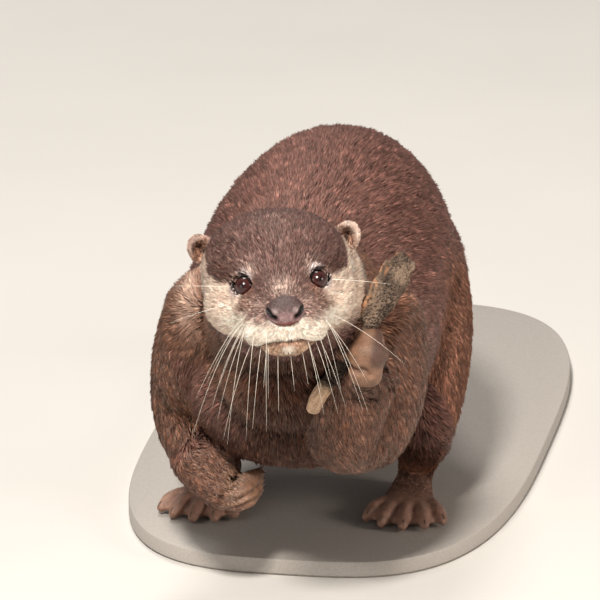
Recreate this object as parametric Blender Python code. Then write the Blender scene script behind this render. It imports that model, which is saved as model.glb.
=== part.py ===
"""Asian small-clawed otter, life size, as a still display model on a flat base.

The otter runs on its hind feet with its back arched. Its right forepaw is
lifted in mid-stride and its left forepaw clasps a short piece of driftwood.

The otter faces -Y, +X is its left and +Z is up. All points in the tables below
are in centimetres, measured from the ground under the hind feet. The finished
model is moved so that its origin is the bottom centre of its bounding box.

The body is lofted from rings, fused into one smooth form and then parted into
the head, neck, trunk, tail and limbs by thin cuts.
"""

import math

import bmesh
import bpy
from mathutils import Euler, Matrix, Vector

# Driving dimensions, in metres.
CM = 0.01
GAP = 0.0004  # clearance between neighbouring solids
STAND_THICKNESS = 0.010
STAND_WIDTH = 0.232
STAND_LENGTH = 0.480
STAND_CENTRE = Vector((-0.006, 0.135))
STAND_BEVEL = 0.0015
EYE_RADIUS = 0.0056
RING_SIDES = 28  # sides of a body ring
ZONE_SEGMENTS = 12  # sides of the spaces that part the limbs and the head

# How finely each fused form is made: voxel size, smoothing passes, triangles.
BODY_DETAIL = (0.0017, 8, 3300)
PAW_DETAIL = (0.0009, 3, 320)
STICK_DETAIL = (0.0010, 2, 300)
TRIM_RATIO = 0.72  # share of its triangles that a cut piece keeps

# Where the head sits, and how it is turned: pitch down, roll, yaw to its left.
HEAD_PLACE = Vector((0.9, -20.2, 19.75)) * CM
HEAD_TURN = Euler((math.radians(1), math.radians(-4), math.radians(14)), "YXZ")

COAT = ("coat_brown", (0.075, 0.038, 0.026), 0.55)
PALE_COAT = ("coat_pale", (0.42, 0.33, 0.25), 0.60)
BARE_SKIN = ("bare_skin", (0.16, 0.09, 0.065), 0.45)
NOSE_SKIN = ("nose_skin", (0.13, 0.075, 0.075), 0.35)
EYE = ("eye", (0.025, 0.008, 0.006), 0.06)
WOOD = ("driftwood", (0.20, 0.16, 0.11), 0.85)
STAND = ("stand", (0.50, 0.47, 0.43), 0.60)


# --- Tables: centre x, y, z, half width, half height --------------------------

TRUNK = [
    (-0.2, 22.6, 5.0, 2.25, 2.1),
    (-0.2, 19.0, 6.9, 2.7, 2.8),  # root of the tail
    (-0.3, 15.6, 8.8, 3.8, 4.0),
    (-0.3, 12.2, 10.8, 5.2, 5.9),  # rump
    (-0.3, 8.0, 12.6, 6.6, 7.1),  # loins
    (-0.3, 3.0, 13.5, 7.2, 7.5),  # top of the arched back
    (-0.3, -2.0, 13.3, 7.3, 7.3),  # ribs
    (-0.1, -7.0, 12.7, 7.1, 7.0),
    (0.1, -10.6, 12.5, 6.5, 6.6),  # shoulders
    (0.2, -12.8, 13.0, 5.5, 6.1),
    (0.3, -14.3, 13.6, 3.9, 4.6),  # breast
]
TAIL = [
    (-0.1, 18.0, 7.4, 2.7, 2.8),
    (-0.3, 22.4, 4.8, 2.3, 2.15),
    (-1.0, 26.2, 2.8, 1.95, 1.75),
    (-2.4, 29.6, 1.65, 1.6, 1.4),
    (-4.4, 32.2, 1.15, 1.25, 1.1),
    (-6.7, 33.9, 0.8, 0.85, 0.75),
    (-8.8, 34.6, 0.5, 0.45, 0.42),  # tip
]
NECK = [
    (0.1, -11.0, 14.6, 5.2, 5.0),
    (0.4, -14.0, 16.0, 4.8, 4.7),
    (0.7, -16.6, 17.9, 4.2, 4.1),
    (0.8, -18.0, 18.9, 3.6, 3.4),
]
# Each limb table runs from the trunk outwards.
RIGHT_FORELEG = [
    (-4.3, -11.2, 14.4, 3.0, 3.4),  # shoulder
    (-5.4, -11.0, 11.8, 2.6, 3.0),
    (-6.1, -10.6, 9.4, 2.0, 2.3),
    (-5.9, -11.0, 7.6, 1.75, 1.9),  # elbow
    (-4.8, -12.4, 6.0, 1.6, 1.65),
    (-3.6, -13.6, 4.9, 1.4, 1.4),  # wrist
]
LEFT_FORELEG = [
    (4.4, -11.0, 14.2, 3.1, 3.3),
    (5.0, -12.2, 11.2, 2.7, 2.8),
    (4.6, -13.4, 9.2, 2.4, 2.3),
    (3.8, -14.7, 8.8, 2.15, 1.9),  # elbow
    (3.7, -15.7, 9.5, 2.0, 1.8),
    (4.5, -16.0, 11.2, 1.75, 1.6),
    (5.5, -15.9, 13.0, 1.4, 1.3),  # wrist
]
LEFT_HINDLEG = [
    (3.5, 9.0, 10.9, 3.2, 5.0),  # hip
    (4.6, 4.6, 9.4, 3.1, 4.6),
    (5.5, 0.2, 7.3, 2.5, 3.3),
    (5.8, -1.2, 5.2, 1.9, 2.2),  # knee
    (5.4, 0.6, 3.4, 1.35, 1.5),
    (5.0, 2.0, 2.0, 1.15, 1.2),  # heel
]
RIGHT_HINDLEG = [
    (-4.0, 8.6, 10.7, 3.4, 5.0),
    (-5.5, 4.0, 9.2, 3.2, 4.6),
    (-6.6, -0.6, 7.1, 2.5, 3.3),
    (-6.8, -2.0, 5.1, 1.9, 2.2),
    (-6.6, -0.4, 3.3, 1.35, 1.5),
    (-6.4, 1.2, 2.0, 1.15, 1.2),
]
# The head, in its own frame: the eyes' midpoint is the origin, -y is forward.
HEAD = [
    (0, 6.6, -1.15, 3.4, 2.65),  # nape
    (0, 5.0, -0.9, 3.9, 3.2),
    (0, 3.2, -0.75, 4.15, 3.42),  # between the ears
    (0, 1.4, -0.82, 4.05, 3.25),  # cheeks
    (0, 0.0, -1.0, 3.6, 2.75),
    (0, -1.2, -1.3, 2.85, 2.1),  # eyes
    (0, -2.2, -1.45, 2.35, 1.75),  # muzzle
    (0, -3.0, -1.5, 1.9, 1.4),
]
EYE_PLACE = Vector((1.95, -1.15, 0.15))
EAR_PLACE = Vector((4.05, 4.0, 0.75))
NOSE_PLACE = Vector((0, -3.6, -0.6))
MOUTH_HEIGHT = -1.85
MOUTH_CORNER = -0.4  # how far back the mouth opens


# --- Meshes -------------------------------------------------------------------


def spline(rows, steps):
    """A smooth run of rows through a table, with steps rows to each stretch."""
    padded = [rows[0], *rows, rows[-1]]
    smooth = []
    for i in range(1, len(padded) - 2):
        a, b, c, d = padded[i - 1 : i + 3]
        for k in range(steps):
            t = k / steps
            smooth.append(
                [
                    0.5
                    * (
                        2 * q
                        + (r - p) * t
                        + (2 * p - 5 * q + 4 * r - s) * t**2
                        + (3 * q - p - 3 * r + s) * t**3
                    )
                    for p, q, r, s in zip(a, b, c, d)
                ]
            )
    return [*smooth, list(rows[-1])]


def loft(rows, sides=RING_SIDES, steps=4, squareness=2.3, pinch=0.0, side_hint=(1, 0, 0)):
    """A closed tube of superellipse rings through a table in centimetres, with rounded ends.

    A pinch makes each ring narrower above and wider below.
    """
    rows = spline(rows, steps)
    centres = [Vector(row[:3]) * CM for row in rows]
    radii = [(row[3] * CM, row[4] * CM) for row in rows]
    tangents = [
        (centres[min(i + 1, len(rows) - 1)] - centres[max(i - 1, 0)]).normalized()
        for i in range(len(rows))
    ]
    rounding = [math.radians(a) for a in (75, 50, 25)]
    rings = []

    def add_ring(centre, tangent, width, height):
        side = Vector(side_hint)
        side = (side - side.dot(tangent) * tangent).normalized()
        rings.append((centre, side, tangent.cross(side), width, height))

    for end, order in ((0, rounding), (len(rows) - 1, rounding[::-1])):
        if end:
            for i in range(len(rows)):
                add_ring(centres[i], tangents[i], *radii[i])
        width, height = radii[end]
        outward = tangents[end] if end else -tangents[end]
        for angle in order:
            reach = outward * min(width, height) * math.sin(angle)
            shrink = math.cos(angle)
            add_ring(centres[end] + reach, tangents[end], width * shrink, height * shrink)

    mesh = bmesh.new()
    loops = []
    for centre, side, rise, width, height in rings:
        ring = []
        for k in range(sides):
            angle = math.tau * k / sides
            c, s = math.cos(angle), math.sin(angle)
            across = math.copysign(abs(c) ** (2 / squareness), c) * width * (1 - pinch * s)
            along = math.copysign(abs(s) ** (2 / squareness), s) * height
            ring.append(mesh.verts.new(centre + side * across + rise * along))
        loops.append(ring)
    for low, high in zip(loops, loops[1:]):
        for k in range(sides):
            n = (k + 1) % sides
            mesh.faces.new((low[k], low[n], high[n], high[k]))
    mesh.faces.new(loops[0][::-1])
    mesh.faces.new(loops[-1])
    bmesh.ops.recalc_face_normals(mesh, faces=mesh.faces)
    return finished(mesh)


def finished(mesh):
    """The bmesh as mesh data."""
    data = bpy.data.meshes.new("form")
    mesh.to_mesh(data)
    mesh.free()
    return data


def ellipsoid(centre, radii, turn=(0, 0, 0), segments=24):
    """An ellipsoid, with its centre and radii in centimetres and its turn in degrees."""
    mesh = bmesh.new()
    bmesh.ops.create_uvsphere(
        mesh, u_segments=segments, v_segments=segments // 2, radius=1
    )
    shape = Matrix.Diagonal((*(Vector(radii) * CM), 1))
    spin = Euler([math.radians(a) for a in turn]).to_matrix().to_4x4()
    place = Matrix.Translation(Vector(centre) * CM)
    bmesh.ops.transform(mesh, matrix=place @ spin @ shape, verts=mesh.verts)
    return finished(mesh)


def moved(data, matrix):
    data.transform(matrix)
    return data


def mirrored(data):
    """A copy on the other side of the x = 0 plane."""
    mesh = bmesh.new()
    mesh.from_mesh(data)
    bmesh.ops.transform(mesh, matrix=Matrix.Scale(-1, 4, (1, 0, 0)), verts=mesh.verts)
    bmesh.ops.reverse_faces(mesh, faces=mesh.faces)
    return finished(mesh)


def grown(data, margin):
    """A copy with its surface moved out by a margin, along the vertex normals."""
    mesh = bmesh.new()
    mesh.from_mesh(data)
    mesh.normal_update()
    shifts = [vert.normal * margin for vert in mesh.verts]
    for vert, shift in zip(mesh.verts, shifts):
        vert.co += shift
    return finished(mesh)


def evaluated(data, *modifiers):
    """The mesh after a stack of modifiers, each a type and its settings."""
    obj = bpy.data.objects.new("bench", data)
    bpy.context.scene.collection.objects.link(obj)
    for kind, settings in modifiers:
        modifier = obj.modifiers.new(kind.lower(), kind)
        for name, value in settings.items():
            setattr(modifier, name, value)
    graph = bpy.context.evaluated_depsgraph_get()
    result = bpy.data.meshes.new_from_object(obj.evaluated_get(graph))
    bpy.data.objects.remove(obj)
    return result


def fused(forms, detail):
    """Overlapping closed forms as one smooth closed skin of a stated number of triangles."""
    voxel, passes, triangles = detail
    mesh = bmesh.new()
    for form in forms:
        mesh.from_mesh(form)
    skin = evaluated(
        finished(mesh),
        ("REMESH", {"mode": "VOXEL", "voxel_size": voxel}),
        ("SMOOTH", {"factor": 0.5, "iterations": passes}),
    )
    ratio = triangles / (2 * len(skin.polygons))
    return evaluated(skin, ("DECIMATE", {"ratio": ratio, "use_collapse_triangulate": True}))


def combined(data, cutter, operation):
    """The mesh cut by, or kept inside, a closed cutter."""
    tool = bpy.data.objects.new("cutter", cutter)
    bpy.context.scene.collection.objects.link(tool)
    result = evaluated(
        data, ("BOOLEAN", {"operation": operation, "object": tool, "solver": "EXACT"})
    )
    bpy.data.objects.remove(tool)
    return cleaned(result)


def cleaned(data):
    """The mesh without the slivers that a cut leaves, and without loose crumbs."""
    mesh = bmesh.new()
    mesh.from_mesh(data)
    bmesh.ops.remove_doubles(mesh, verts=mesh.verts, dist=2e-5)
    bmesh.ops.dissolve_degenerate(mesh, edges=mesh.edges, dist=2e-5)
    bmesh.ops.triangulate(mesh, faces=mesh.faces)
    shells = []
    unseen = set(mesh.verts)
    while unseen:
        shell, front = set(), [unseen.pop()]
        while front:
            vert = front.pop()
            shell.add(vert)
            for edge in vert.link_edges:
                other = edge.other_vert(vert)
                if other in unseen:
                    unseen.discard(other)
                    front.append(other)
        shells.append(shell)
    largest = max(shells, key=len)
    crumbs = [vert for shell in shells if shell is not largest for vert in shell]
    bmesh.ops.delete(mesh, geom=crumbs, context="VERTS")
    return finished(mesh)


def trimmed(data):
    """The mesh with fewer of the needlessly small triangles that the cuts leave."""
    return evaluated(
        data, ("DECIMATE", {"ratio": TRIM_RATIO, "use_collapse_triangulate": True})
    )


def parted(whole, zone):
    """The piece of a mesh inside a zone, and the rest of it, a gap away."""
    piece = combined(whole.copy(), zone.copy(), "INTERSECT")
    rest = combined(whole, grown(zone, GAP), "DIFFERENCE")
    return piece, rest


def ahead_of(whole, point, direction, margin=0.0):
    """The closed part of a mesh ahead of a plane, less a margin. The point is in metres."""
    normal = Vector(direction).normalized()
    mesh = bmesh.new()
    mesh.from_mesh(whole)
    cut = bmesh.ops.bisect_plane(
        mesh,
        geom=[*mesh.verts, *mesh.edges, *mesh.faces],
        plane_co=Vector(point) + normal * margin,
        plane_no=normal,
        clear_inner=True,
    )
    edges = [e for e in cut["geom_cut"] if isinstance(e, bmesh.types.BMEdge)]
    bmesh.ops.holes_fill(mesh, edges=edges, sides=0)
    return cleaned(finished(mesh))


def split(whole, point, direction):
    """The parts of a mesh ahead of and behind a plane, a gap apart. The point is in centimetres."""
    place, normal = Vector(point) * CM, Vector(direction)
    return [ahead_of(whole, place, normal * side, GAP / 2) for side in (1, -1)]


# --- Objects ------------------------------------------------------------------


def material(finish):
    name, colour, roughness = finish
    made = bpy.data.materials.get(name)
    if made is None:
        made = bpy.data.materials.new(name)
        made.use_nodes = True
        shader = made.node_tree.nodes["Principled BSDF"]
        shader.inputs["Base Color"].default_value = (*colour, 1)
        shader.inputs["Roughness"].default_value = roughness
        shader.inputs["Metallic"].default_value = 0
    return made


def node(name, data, finish, parent):
    """One named sub-part of the model."""
    data.name = name
    data.materials.clear()
    data.materials.append(material(finish))
    data.shade_smooth()
    data.set_sharp_from_angle(angle=math.radians(45))
    obj = bpy.data.objects.new(name, data)
    bpy.context.scene.collection.objects.link(obj)
    obj.parent = parent
    return obj


# --- Sub-parts ----------------------------------------------------------------


def head_matrix():
    return Matrix.Translation(HEAD_PLACE) @ HEAD_TURN.to_matrix().to_4x4()


def head_forms():
    """The skull, cheeks, brows, muzzle and throat in the head's own frame."""
    forms = [loft(HEAD, squareness=2.15)]
    for side in (1, -1):
        forms += [
            ellipsoid((side * 2.35, 1.1, -1.55), (1.85, 2.7, 1.75)),  # cheek
            ellipsoid((side * 1.1, -2.85, -1.7), (1.25, 1.4, 0.95)),  # whisker pad
            ellipsoid((side * 1.8, 0.2, 0.75), (1.0, 1.5, 0.6)),  # brow
            ellipsoid((side * 1.6, 2.8, 0.75), (2.0, 2.6, 1.6)),  # side of the crown
        ]
    forms += [
        ellipsoid((0, 2.4, 0.95), (2.4, 3.6, 1.8)),  # crown
        ellipsoid((0, -2.3, -0.8), (1.2, 2.0, 1.0)),  # bridge of the nose
        ellipsoid((0, -2.2, -2.6), (1.5, 1.95, 0.9)),  # chin
        ellipsoid((0, 1.4, -2.7), (2.7, 3.4, 1.6)),  # throat
    ]
    return forms


def ear(side):
    """A small round ear: a thick disc, hollowed towards the front, on the side of the head."""
    turn = (-12, 24, -28)
    disc = ellipsoid(EAR_PLACE, (0.78, 0.4, 0.9), turn, 12)
    hollow = ellipsoid(EAR_PLACE + Vector((0.05, -0.4, 0.08)), (0.46, 0.4, 0.56), turn, 8)
    disc = combined(disc, hollow, "DIFFERENCE")
    return moved(disc if side > 0 else mirrored(disc), head_matrix())


def eyeball(side):
    centre = (side * EYE_PLACE.x, EYE_PLACE.y, EYE_PLACE.z)
    return moved(ellipsoid(centre, [EYE_RADIUS / CM] * 3, segments=14), head_matrix())


def nose_pad():
    return moved(ellipsoid(NOSE_PLACE, (1.0, 0.6, 0.78), segments=12), head_matrix())


def jaw_zone():
    """The space of the lower jaw: its top is the line of the closed mouth."""
    depth = 1.5
    centre = (0, MOUTH_CORNER - 2.2, MOUTH_HEIGHT - depth)
    return moved(ellipsoid(centre, (2.0, 2.2, depth), segments=12), head_matrix())


def paw(palm, digits, side_hint=(1, 0, 0)):
    """A palm and its toes, fused. Each table is as for loft."""
    forms = [loft(palm, sides=16, steps=3, side_hint=side_hint)]
    forms += [
        loft(digit, sides=12, steps=3, squareness=2, side_hint=side_hint) for digit in digits
    ]
    return fused(forms, PAW_DETAIL)


def hind_foot(place, turn):
    """A long flat foot: heel at its place, toes spread towards -y, its sole on the ground."""
    sole = [
        (0, 0.7, 1.15, 0.85, 0.95),
        (0, -0.8, 0.95, 1.05, 0.85),
        (0, -2.6, 0.78, 1.35, 0.72),
        (0, -4.3, 0.62, 1.6, 0.6),
    ]
    toes = []
    for number, (spread, length) in enumerate(
        ((-27, 2.0), (-13, 2.7), (0, 3.0), (12, 2.8), (26, 2.1))
    ):
        angle = math.radians(spread)
        root = Vector((-1.3 + 0.65 * number, -3.6, 0.66))
        along = Vector((math.sin(angle), -math.cos(angle), 0)) * length
        toes.append(
            [
                (*root, 0.44, 0.48),
                (*(root + along * 0.5 + Vector((0, 0, 0.08))), 0.4, 0.46),
                (*(root + along * 0.8 + Vector((0, 0, -0.1))), 0.4, 0.42),
                (*(root + along + Vector((0, 0, -0.26))), 0.3, 0.32),
            ]
        )
    web = [(0, -4.0, 0.42, 1.55, 0.3), (0, -5.6, 0.36, 1.9, 0.24)]
    spin = Matrix.Rotation(math.radians(turn), 4, "Z")
    foot = moved(paw(sole, [*toes, web]), Matrix.Translation(Vector(place) * CM) @ spin)
    return ahead_of(foot, (0, 0, GAP), (0, 0, 1))


def right_forepaw():
    """The lifted paw: bent at the wrist, with its toes drawn together and turned inwards."""
    palm = [
        (-3.5, -13.7, 4.7, 1.15, 1.15),
        (-2.9, -13.9, 4.65, 1.1, 1.15),
        (-2.4, -13.9, 4.85, 1.0, 1.1),
    ]
    digits = []
    for number in range(5):
        rise = -0.75 + 0.38 * number
        digits.append(
            [
                (-2.6, -13.9 + 0.08 * number, 4.85 + rise * 0.9, 0.38, 0.38),
                (-2.1, -13.8 + 0.1 * number, 5.05 + rise * 0.9, 0.4, 0.4),
                (-1.75, -13.5 + 0.1 * number, 5.2 + rise * 0.85, 0.38, 0.38),
                (-1.6, -13.15 + 0.1 * number, 5.3 + rise * 0.75, 0.3, 0.3),
            ]
        )
    return paw(palm, digits, side_hint=(0, 1, 0))


def left_forepaw():
    """The clasping paw: it folds forwards over the wrist, and its toes close over the driftwood."""
    palm = [
        (5.5, -15.9, 13.8, 0.95, 1.0),
        (5.5, -16.6, 14.8, 0.95, 1.1),
        (5.4, -17.5, 15.2, 0.9, 1.1),
        (5.3, -18.1, 14.5, 0.95, 1.05),
    ]
    digits = []
    for number in range(4):
        x = 5.85 - 0.38 * number
        digits.append(
            [
                (x, -18.0, 14.8, 0.38, 0.46),
                (x - 0.05, -18.3, 13.9, 0.4, 0.46),
                (x - 0.1, -18.15, 13.2, 0.38, 0.42),
                (x - 0.2, -17.7, 12.8, 0.32, 0.36),
            ]
        )
    thumb = [
        (4.9, -17.5, 15.4, 0.4, 0.4),
        (4.4, -17.9, 15.1, 0.36, 0.36),
        (4.0, -18.1, 14.6, 0.3, 0.3),
    ]
    return paw(palm, [*digits, thumb])


def driftwood():
    """A weathered stick, flattened and knobbly, broken at its upper end and chipped at the lower."""
    stick = [
        (6.6, -15.3, 19.0, 0.85, 0.5),
        (6.1, -15.6, 18.1, 0.9, 0.6),
        (5.4, -16.0, 16.9, 0.82, 0.6),
        (4.6, -16.5, 15.5, 0.7, 0.54),
        (3.9, -17.0, 14.2, 0.55, 0.48),
        (3.2, -17.5, 13.1, 0.42, 0.42),
        (2.85, -17.8, 12.5, 0.4, 0.4),
    ]
    chip = [
        (3.1, -17.8, 13.2, 0.36, 0.3),
        (2.7, -18.1, 12.5, 0.5, 0.36),
        (2.4, -18.3, 11.7, 0.44, 0.3),
    ]
    forms = [
        loft(stick, sides=14, steps=3, squareness=3),
        loft(chip, sides=12, steps=3, squareness=2.6),
    ]
    knobs = ((6.1, -15.4, 19.2, 0.4), (6.6, -15.2, 19.45, 0.45), (7.1, -15.0, 19.1, 0.38))
    for x, y, z, radius in knobs:
        forms.append(ellipsoid((x, y, z), (radius, radius, radius * 1.5), (0, 25, 0)))
    return fused(forms, STICK_DETAIL)


def stand_base():
    """The flat display base: a rounded slab with a small bevel round its top edge."""
    squareness = 3.2
    sides = 32
    mesh = bmesh.new()
    ring = []
    for k in range(sides):
        c, s = math.cos(math.tau * k / sides), math.sin(math.tau * k / sides)
        across = math.copysign(abs(c) ** (2 / squareness), c) * STAND_WIDTH / 2
        along = math.copysign(abs(s) ** (2 / squareness), s) * STAND_LENGTH / 2
        ring.append(
            mesh.verts.new((STAND_CENTRE.x + across, STAND_CENTRE.y + along, -STAND_THICKNESS))
        )
    bottom = mesh.faces.new(ring)
    walls = bmesh.ops.extrude_face_region(mesh, geom=[bottom])
    top = [g for g in walls["geom"] if isinstance(g, bmesh.types.BMVert)]
    bmesh.ops.translate(mesh, verts=top, vec=(0, 0, STAND_THICKNESS))
    rim = [e for e in mesh.edges if all(v.co.z > -STAND_BEVEL for v in e.verts)]
    bmesh.ops.bevel(mesh, geom=rim, offset=STAND_BEVEL, segments=1, affect="EDGES")
    bmesh.ops.recalc_face_normals(mesh, faces=mesh.faces)
    return finished(mesh)


# The limbs are parted from the body, in this order, by the spaces that they take up:
# name, centre, radii and turn.
LIMB_ZONES = [
    ("forearm_left", (4.5, -16.2, 10.6), (2.8, 2.1, 4.5), (8, 14, 0)),
    ("upper_arm_left", (7.0, -12.0, 11.4), (3.5, 3.6, 5.0), (-12, -6, 0)),
    ("forearm_right", (-4.3, -12.9, 5.4), (2.5, 2.6, 2.1), (0, 40, -45)),
    ("upper_arm_right", (-7.2, -10.8, 10.9), (3.5, 3.6, 5.2), (0, 8, 0)),
    ("shank_left", (5.5, 0.2, 1.9), (2.6, 3.2, 2.8), (0, 0, 0)),
    ("thigh_left", (7.6, 3.0, 8.8), (4.0, 6.4, 5.6), (-32, 0, 0)),
    ("shank_right", (-6.7, -0.6, 1.9), (2.6, 3.2, 2.8), (0, 0, 0)),
    ("thigh_right", (-8.4, 2.4, 8.6), (4.2, 6.4, 5.6), (-32, 0, 0)),
]
# The head's own space, in its own frame: centre and radii.
HEAD_ZONE = ((0, 0.8, -0.4), (6.5, 6.6, 4.6))
# The cuts across the body, in this order: the name of the part ahead, a point and the direction ahead.
BODY_CUTS = [
    ("neck", (0.4, -13.0, 14.5), (0, -0.75, 0.66)),
    ("chest", (0, -5.6, 12.8), (0, -1, 0.1)),
    ("belly", (-0.3, 4.6, 12.8), (0, -1, -0.1)),
    ("rump", (-0.2, 16.4, 8.4), (0, -0.9, 0.45)),
    ("tail_base", (-0.8, 24.4, 3.9), (0.1, -0.9, 0.4)),
    ("tail_middle", (-3.0, 30.3, 1.5), (0.5, -0.8, 0.2)),
]
LAST_PART = "tail_tip"
# What is set into each piece of flesh, or presses on it.
PRESSED_IN = {
    "head": ("eye_left", "eye_right", "nose", "stick"),
    "neck": ("hand_left", "stick"),
    "chest": ("hand_right",),
    "forearm_left": ("hand_left", "stick"),
    "forearm_right": ("hand_right",),
    "shank_left": ("foot_left",),
    "shank_right": ("foot_right",),
}


def flesh():
    """The body as one skin, with its feet and hands still to come, resting on the ground."""
    forms = [
        loft(TRUNK, squareness=2.1, pinch=0.14),
        loft(TAIL, sides=20),
        loft(NECK),
        loft(RIGHT_FORELEG, sides=18),
        loft(LEFT_FORELEG, sides=18),
        loft(RIGHT_HINDLEG, sides=18),
        loft(LEFT_HINDLEG, sides=18),
    ]
    forms += [moved(form, head_matrix()) for form in head_forms()]
    return ahead_of(fused(forms, BODY_DETAIL), (0, 0, GAP), (0, 0, 1))


def body_parts():
    """The flesh, parted into its named pieces."""
    rest = flesh()
    parts = {}
    for name, centre, radii, turn in LIMB_ZONES:
        parts[name], rest = parted(rest, ellipsoid(centre, radii, turn, ZONE_SEGMENTS))
    head_zone = moved(ellipsoid(*HEAD_ZONE, segments=ZONE_SEGMENTS), head_matrix())
    parts["head"], rest = parted(rest, head_zone)
    for name, point, direction in BODY_CUTS:
        parts[name], rest = split(rest, point, direction)
    parts[LAST_PART] = rest
    return parts


def clear_of(data, *others):
    """The mesh with room cut into it for its neighbours."""
    for other in others:
        data = combined(data, grown(other, GAP), "DIFFERENCE")
    return data


def build():
    for obj in list(bpy.data.objects):
        bpy.data.objects.remove(obj)
    origin = bpy.data.objects.new("otter_origin", None)
    bpy.context.scene.collection.objects.link(origin)

    others = {
        "eye_left": (eyeball(1), EYE),
        "eye_right": (eyeball(-1), EYE),
        "nose": (nose_pad(), NOSE_SKIN),
        "hand_left": (left_forepaw(), BARE_SKIN),
        "hand_right": (right_forepaw(), BARE_SKIN),
        "foot_left": (hind_foot((4.9, 1.6, 0), 3), BARE_SKIN),
        "foot_right": (hind_foot((-6.2, 0.9, 0), -5), BARE_SKIN),
        "stick": (driftwood(), WOOD),
        "stand_base": (stand_base(), STAND),
    }
    others["hand_left"] = (clear_of(others["hand_left"][0], others["stick"][0]), BARE_SKIN)
    parts = body_parts()
    for name, neighbours in PRESSED_IN.items():
        parts[name] = clear_of(parts[name], *(others[neighbour][0] for neighbour in neighbours))
    parts["lower_jaw"], parts["head"] = parted(parts["head"], jaw_zone())
    for name, side in (("ear_left", 1), ("ear_right", -1)):
        parts[name] = clear_of(ear(side), parts["head"])

    objects = [node(name, trimmed(data), COAT, origin) for name, data in parts.items()]
    objects += [node(name, data, finish, origin) for name, (data, finish) in others.items()]
    corners = [Vector(vert.co) for obj in objects for vert in obj.data.vertices]
    low = [min(corner[axis] for corner in corners) for axis in range(3)]
    high = [max(corner[axis] for corner in corners) for axis in range(3)]
    origin.location = (-(low[0] + high[0]) / 2, -(low[1] + high[1]) / 2, -low[2])


build()
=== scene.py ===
from math import cos, pi, radians, sin

import bmesh
import bpy
import numpy as np
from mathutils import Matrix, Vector, noise
from mathutils.bvhtree import BVHTree
from mathutils.kdtree import KDTree


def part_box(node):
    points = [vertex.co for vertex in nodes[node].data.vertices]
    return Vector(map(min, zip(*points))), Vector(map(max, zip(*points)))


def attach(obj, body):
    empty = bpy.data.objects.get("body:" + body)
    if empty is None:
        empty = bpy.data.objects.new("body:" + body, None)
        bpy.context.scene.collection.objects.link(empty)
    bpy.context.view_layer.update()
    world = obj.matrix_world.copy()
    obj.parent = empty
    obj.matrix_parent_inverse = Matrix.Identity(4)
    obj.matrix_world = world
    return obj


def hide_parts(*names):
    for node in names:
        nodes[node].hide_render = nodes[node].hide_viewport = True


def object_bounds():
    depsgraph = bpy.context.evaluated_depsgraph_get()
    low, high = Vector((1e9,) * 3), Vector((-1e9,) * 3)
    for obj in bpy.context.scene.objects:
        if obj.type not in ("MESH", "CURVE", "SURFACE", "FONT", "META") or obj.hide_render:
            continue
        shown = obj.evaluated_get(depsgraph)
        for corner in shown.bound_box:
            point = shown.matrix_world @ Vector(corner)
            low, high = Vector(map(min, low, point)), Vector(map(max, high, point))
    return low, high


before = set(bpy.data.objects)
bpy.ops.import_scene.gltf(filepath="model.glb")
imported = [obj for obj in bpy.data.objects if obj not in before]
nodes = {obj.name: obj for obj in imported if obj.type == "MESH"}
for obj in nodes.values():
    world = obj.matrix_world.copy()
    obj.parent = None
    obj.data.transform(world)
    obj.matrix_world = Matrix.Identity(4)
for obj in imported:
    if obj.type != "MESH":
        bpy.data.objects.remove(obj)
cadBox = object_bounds()
scene = bpy.context.scene
cm = 0.01
mm = 0.001
draw = np.random.default_rng(7)

notFlesh = ("eye_left", "eye_right", "nose", "stick", "stand_base")
flesh = sorted(name for name in nodes if name not in notFlesh)


# numbers and places

def unit(vectors):
    return vectors / np.maximum(np.linalg.norm(vectors, axis=-1, keepdims=True), 1e-9)


def smoothStep(low, high, values):
    t = np.clip((values - low) / (high - low), 0, 1)
    return t * t * (3 - 2 * t)


def bell(values, width):
    # 1 where the values are 0, less on both sides of it
    return np.exp(-(values / width) ** 2)


def mixed(a, b, share):
    # a where share is 0, b where it is 1; share has one number for each row
    share = np.asarray(share)[..., None]
    return np.asarray(a) * (1 - share) + np.asarray(b) * share


def ripples(points, size, seed=0):
    # soft noise from -1 to 1, with features about size across
    shift = Vector((seed * 3.1, seed * 1.7, seed * 2.3))
    return np.array([noise.noise(Vector(p) / size + shift) for p in points])


def toneTable(colours):
    # colours given as on a screen, red, green and blue from 0 to 255
    return {name: (np.array(colour) / 255) ** 2.2 for name, colour in colours.items()}


def middleOf(node):
    low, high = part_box(node)
    return np.array((low + high) / 2)


def inBox(points, node, margin=0.0):
    low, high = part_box(node)
    return ((points > np.array(low) - margin) & (points < np.array(high) + margin)).all(1)


# the head's own axes: x to the otter's left, y to its nape, z to its crown
headShape = {
    "eye": (1.95, -1.15, 0.15),  # cm from the head's middle, left side
    "noseDrop": 17.0,  # degrees that the nose lies below the eyes
    "nose": (0.0, -3.6, -0.6),
}


def headFrame():
    eyeLeft, eyeRight = middleOf("eye_left"), middleOf("eye_right")
    between = (eyeLeft + eyeRight) / 2
    sideways = unit(eyeLeft - eyeRight)
    ahead = middleOf("nose") - between
    ahead = unit(ahead - sideways * (ahead @ sideways))
    raised = np.cross(sideways, -ahead)
    drop = radians(headShape["noseDrop"])
    back = -(ahead * cos(drop) + raised * sin(drop))
    up = np.cross(sideways, back)
    axes = np.stack((sideways, back, up), 1)
    eye = np.array(headShape["eye"]) * (0, cm, cm)
    return between - axes @ eye, axes


headPlace, headAxes = headFrame()


def inHead(points):
    return (points - headPlace) @ headAxes / cm


def fromHead(places):
    return headPlace + np.asarray(places) * cm @ headAxes.T


# meshes

def placed(name, data):
    thing = bpy.data.objects.new(name, data)
    scene.collection.objects.link(thing)
    return thing


def showMesh(name, mesh, replaced=()):
    piece = placed(name, mesh)
    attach(piece, "root")
    if replaced:
        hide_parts(*replaced)
    return piece


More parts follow.
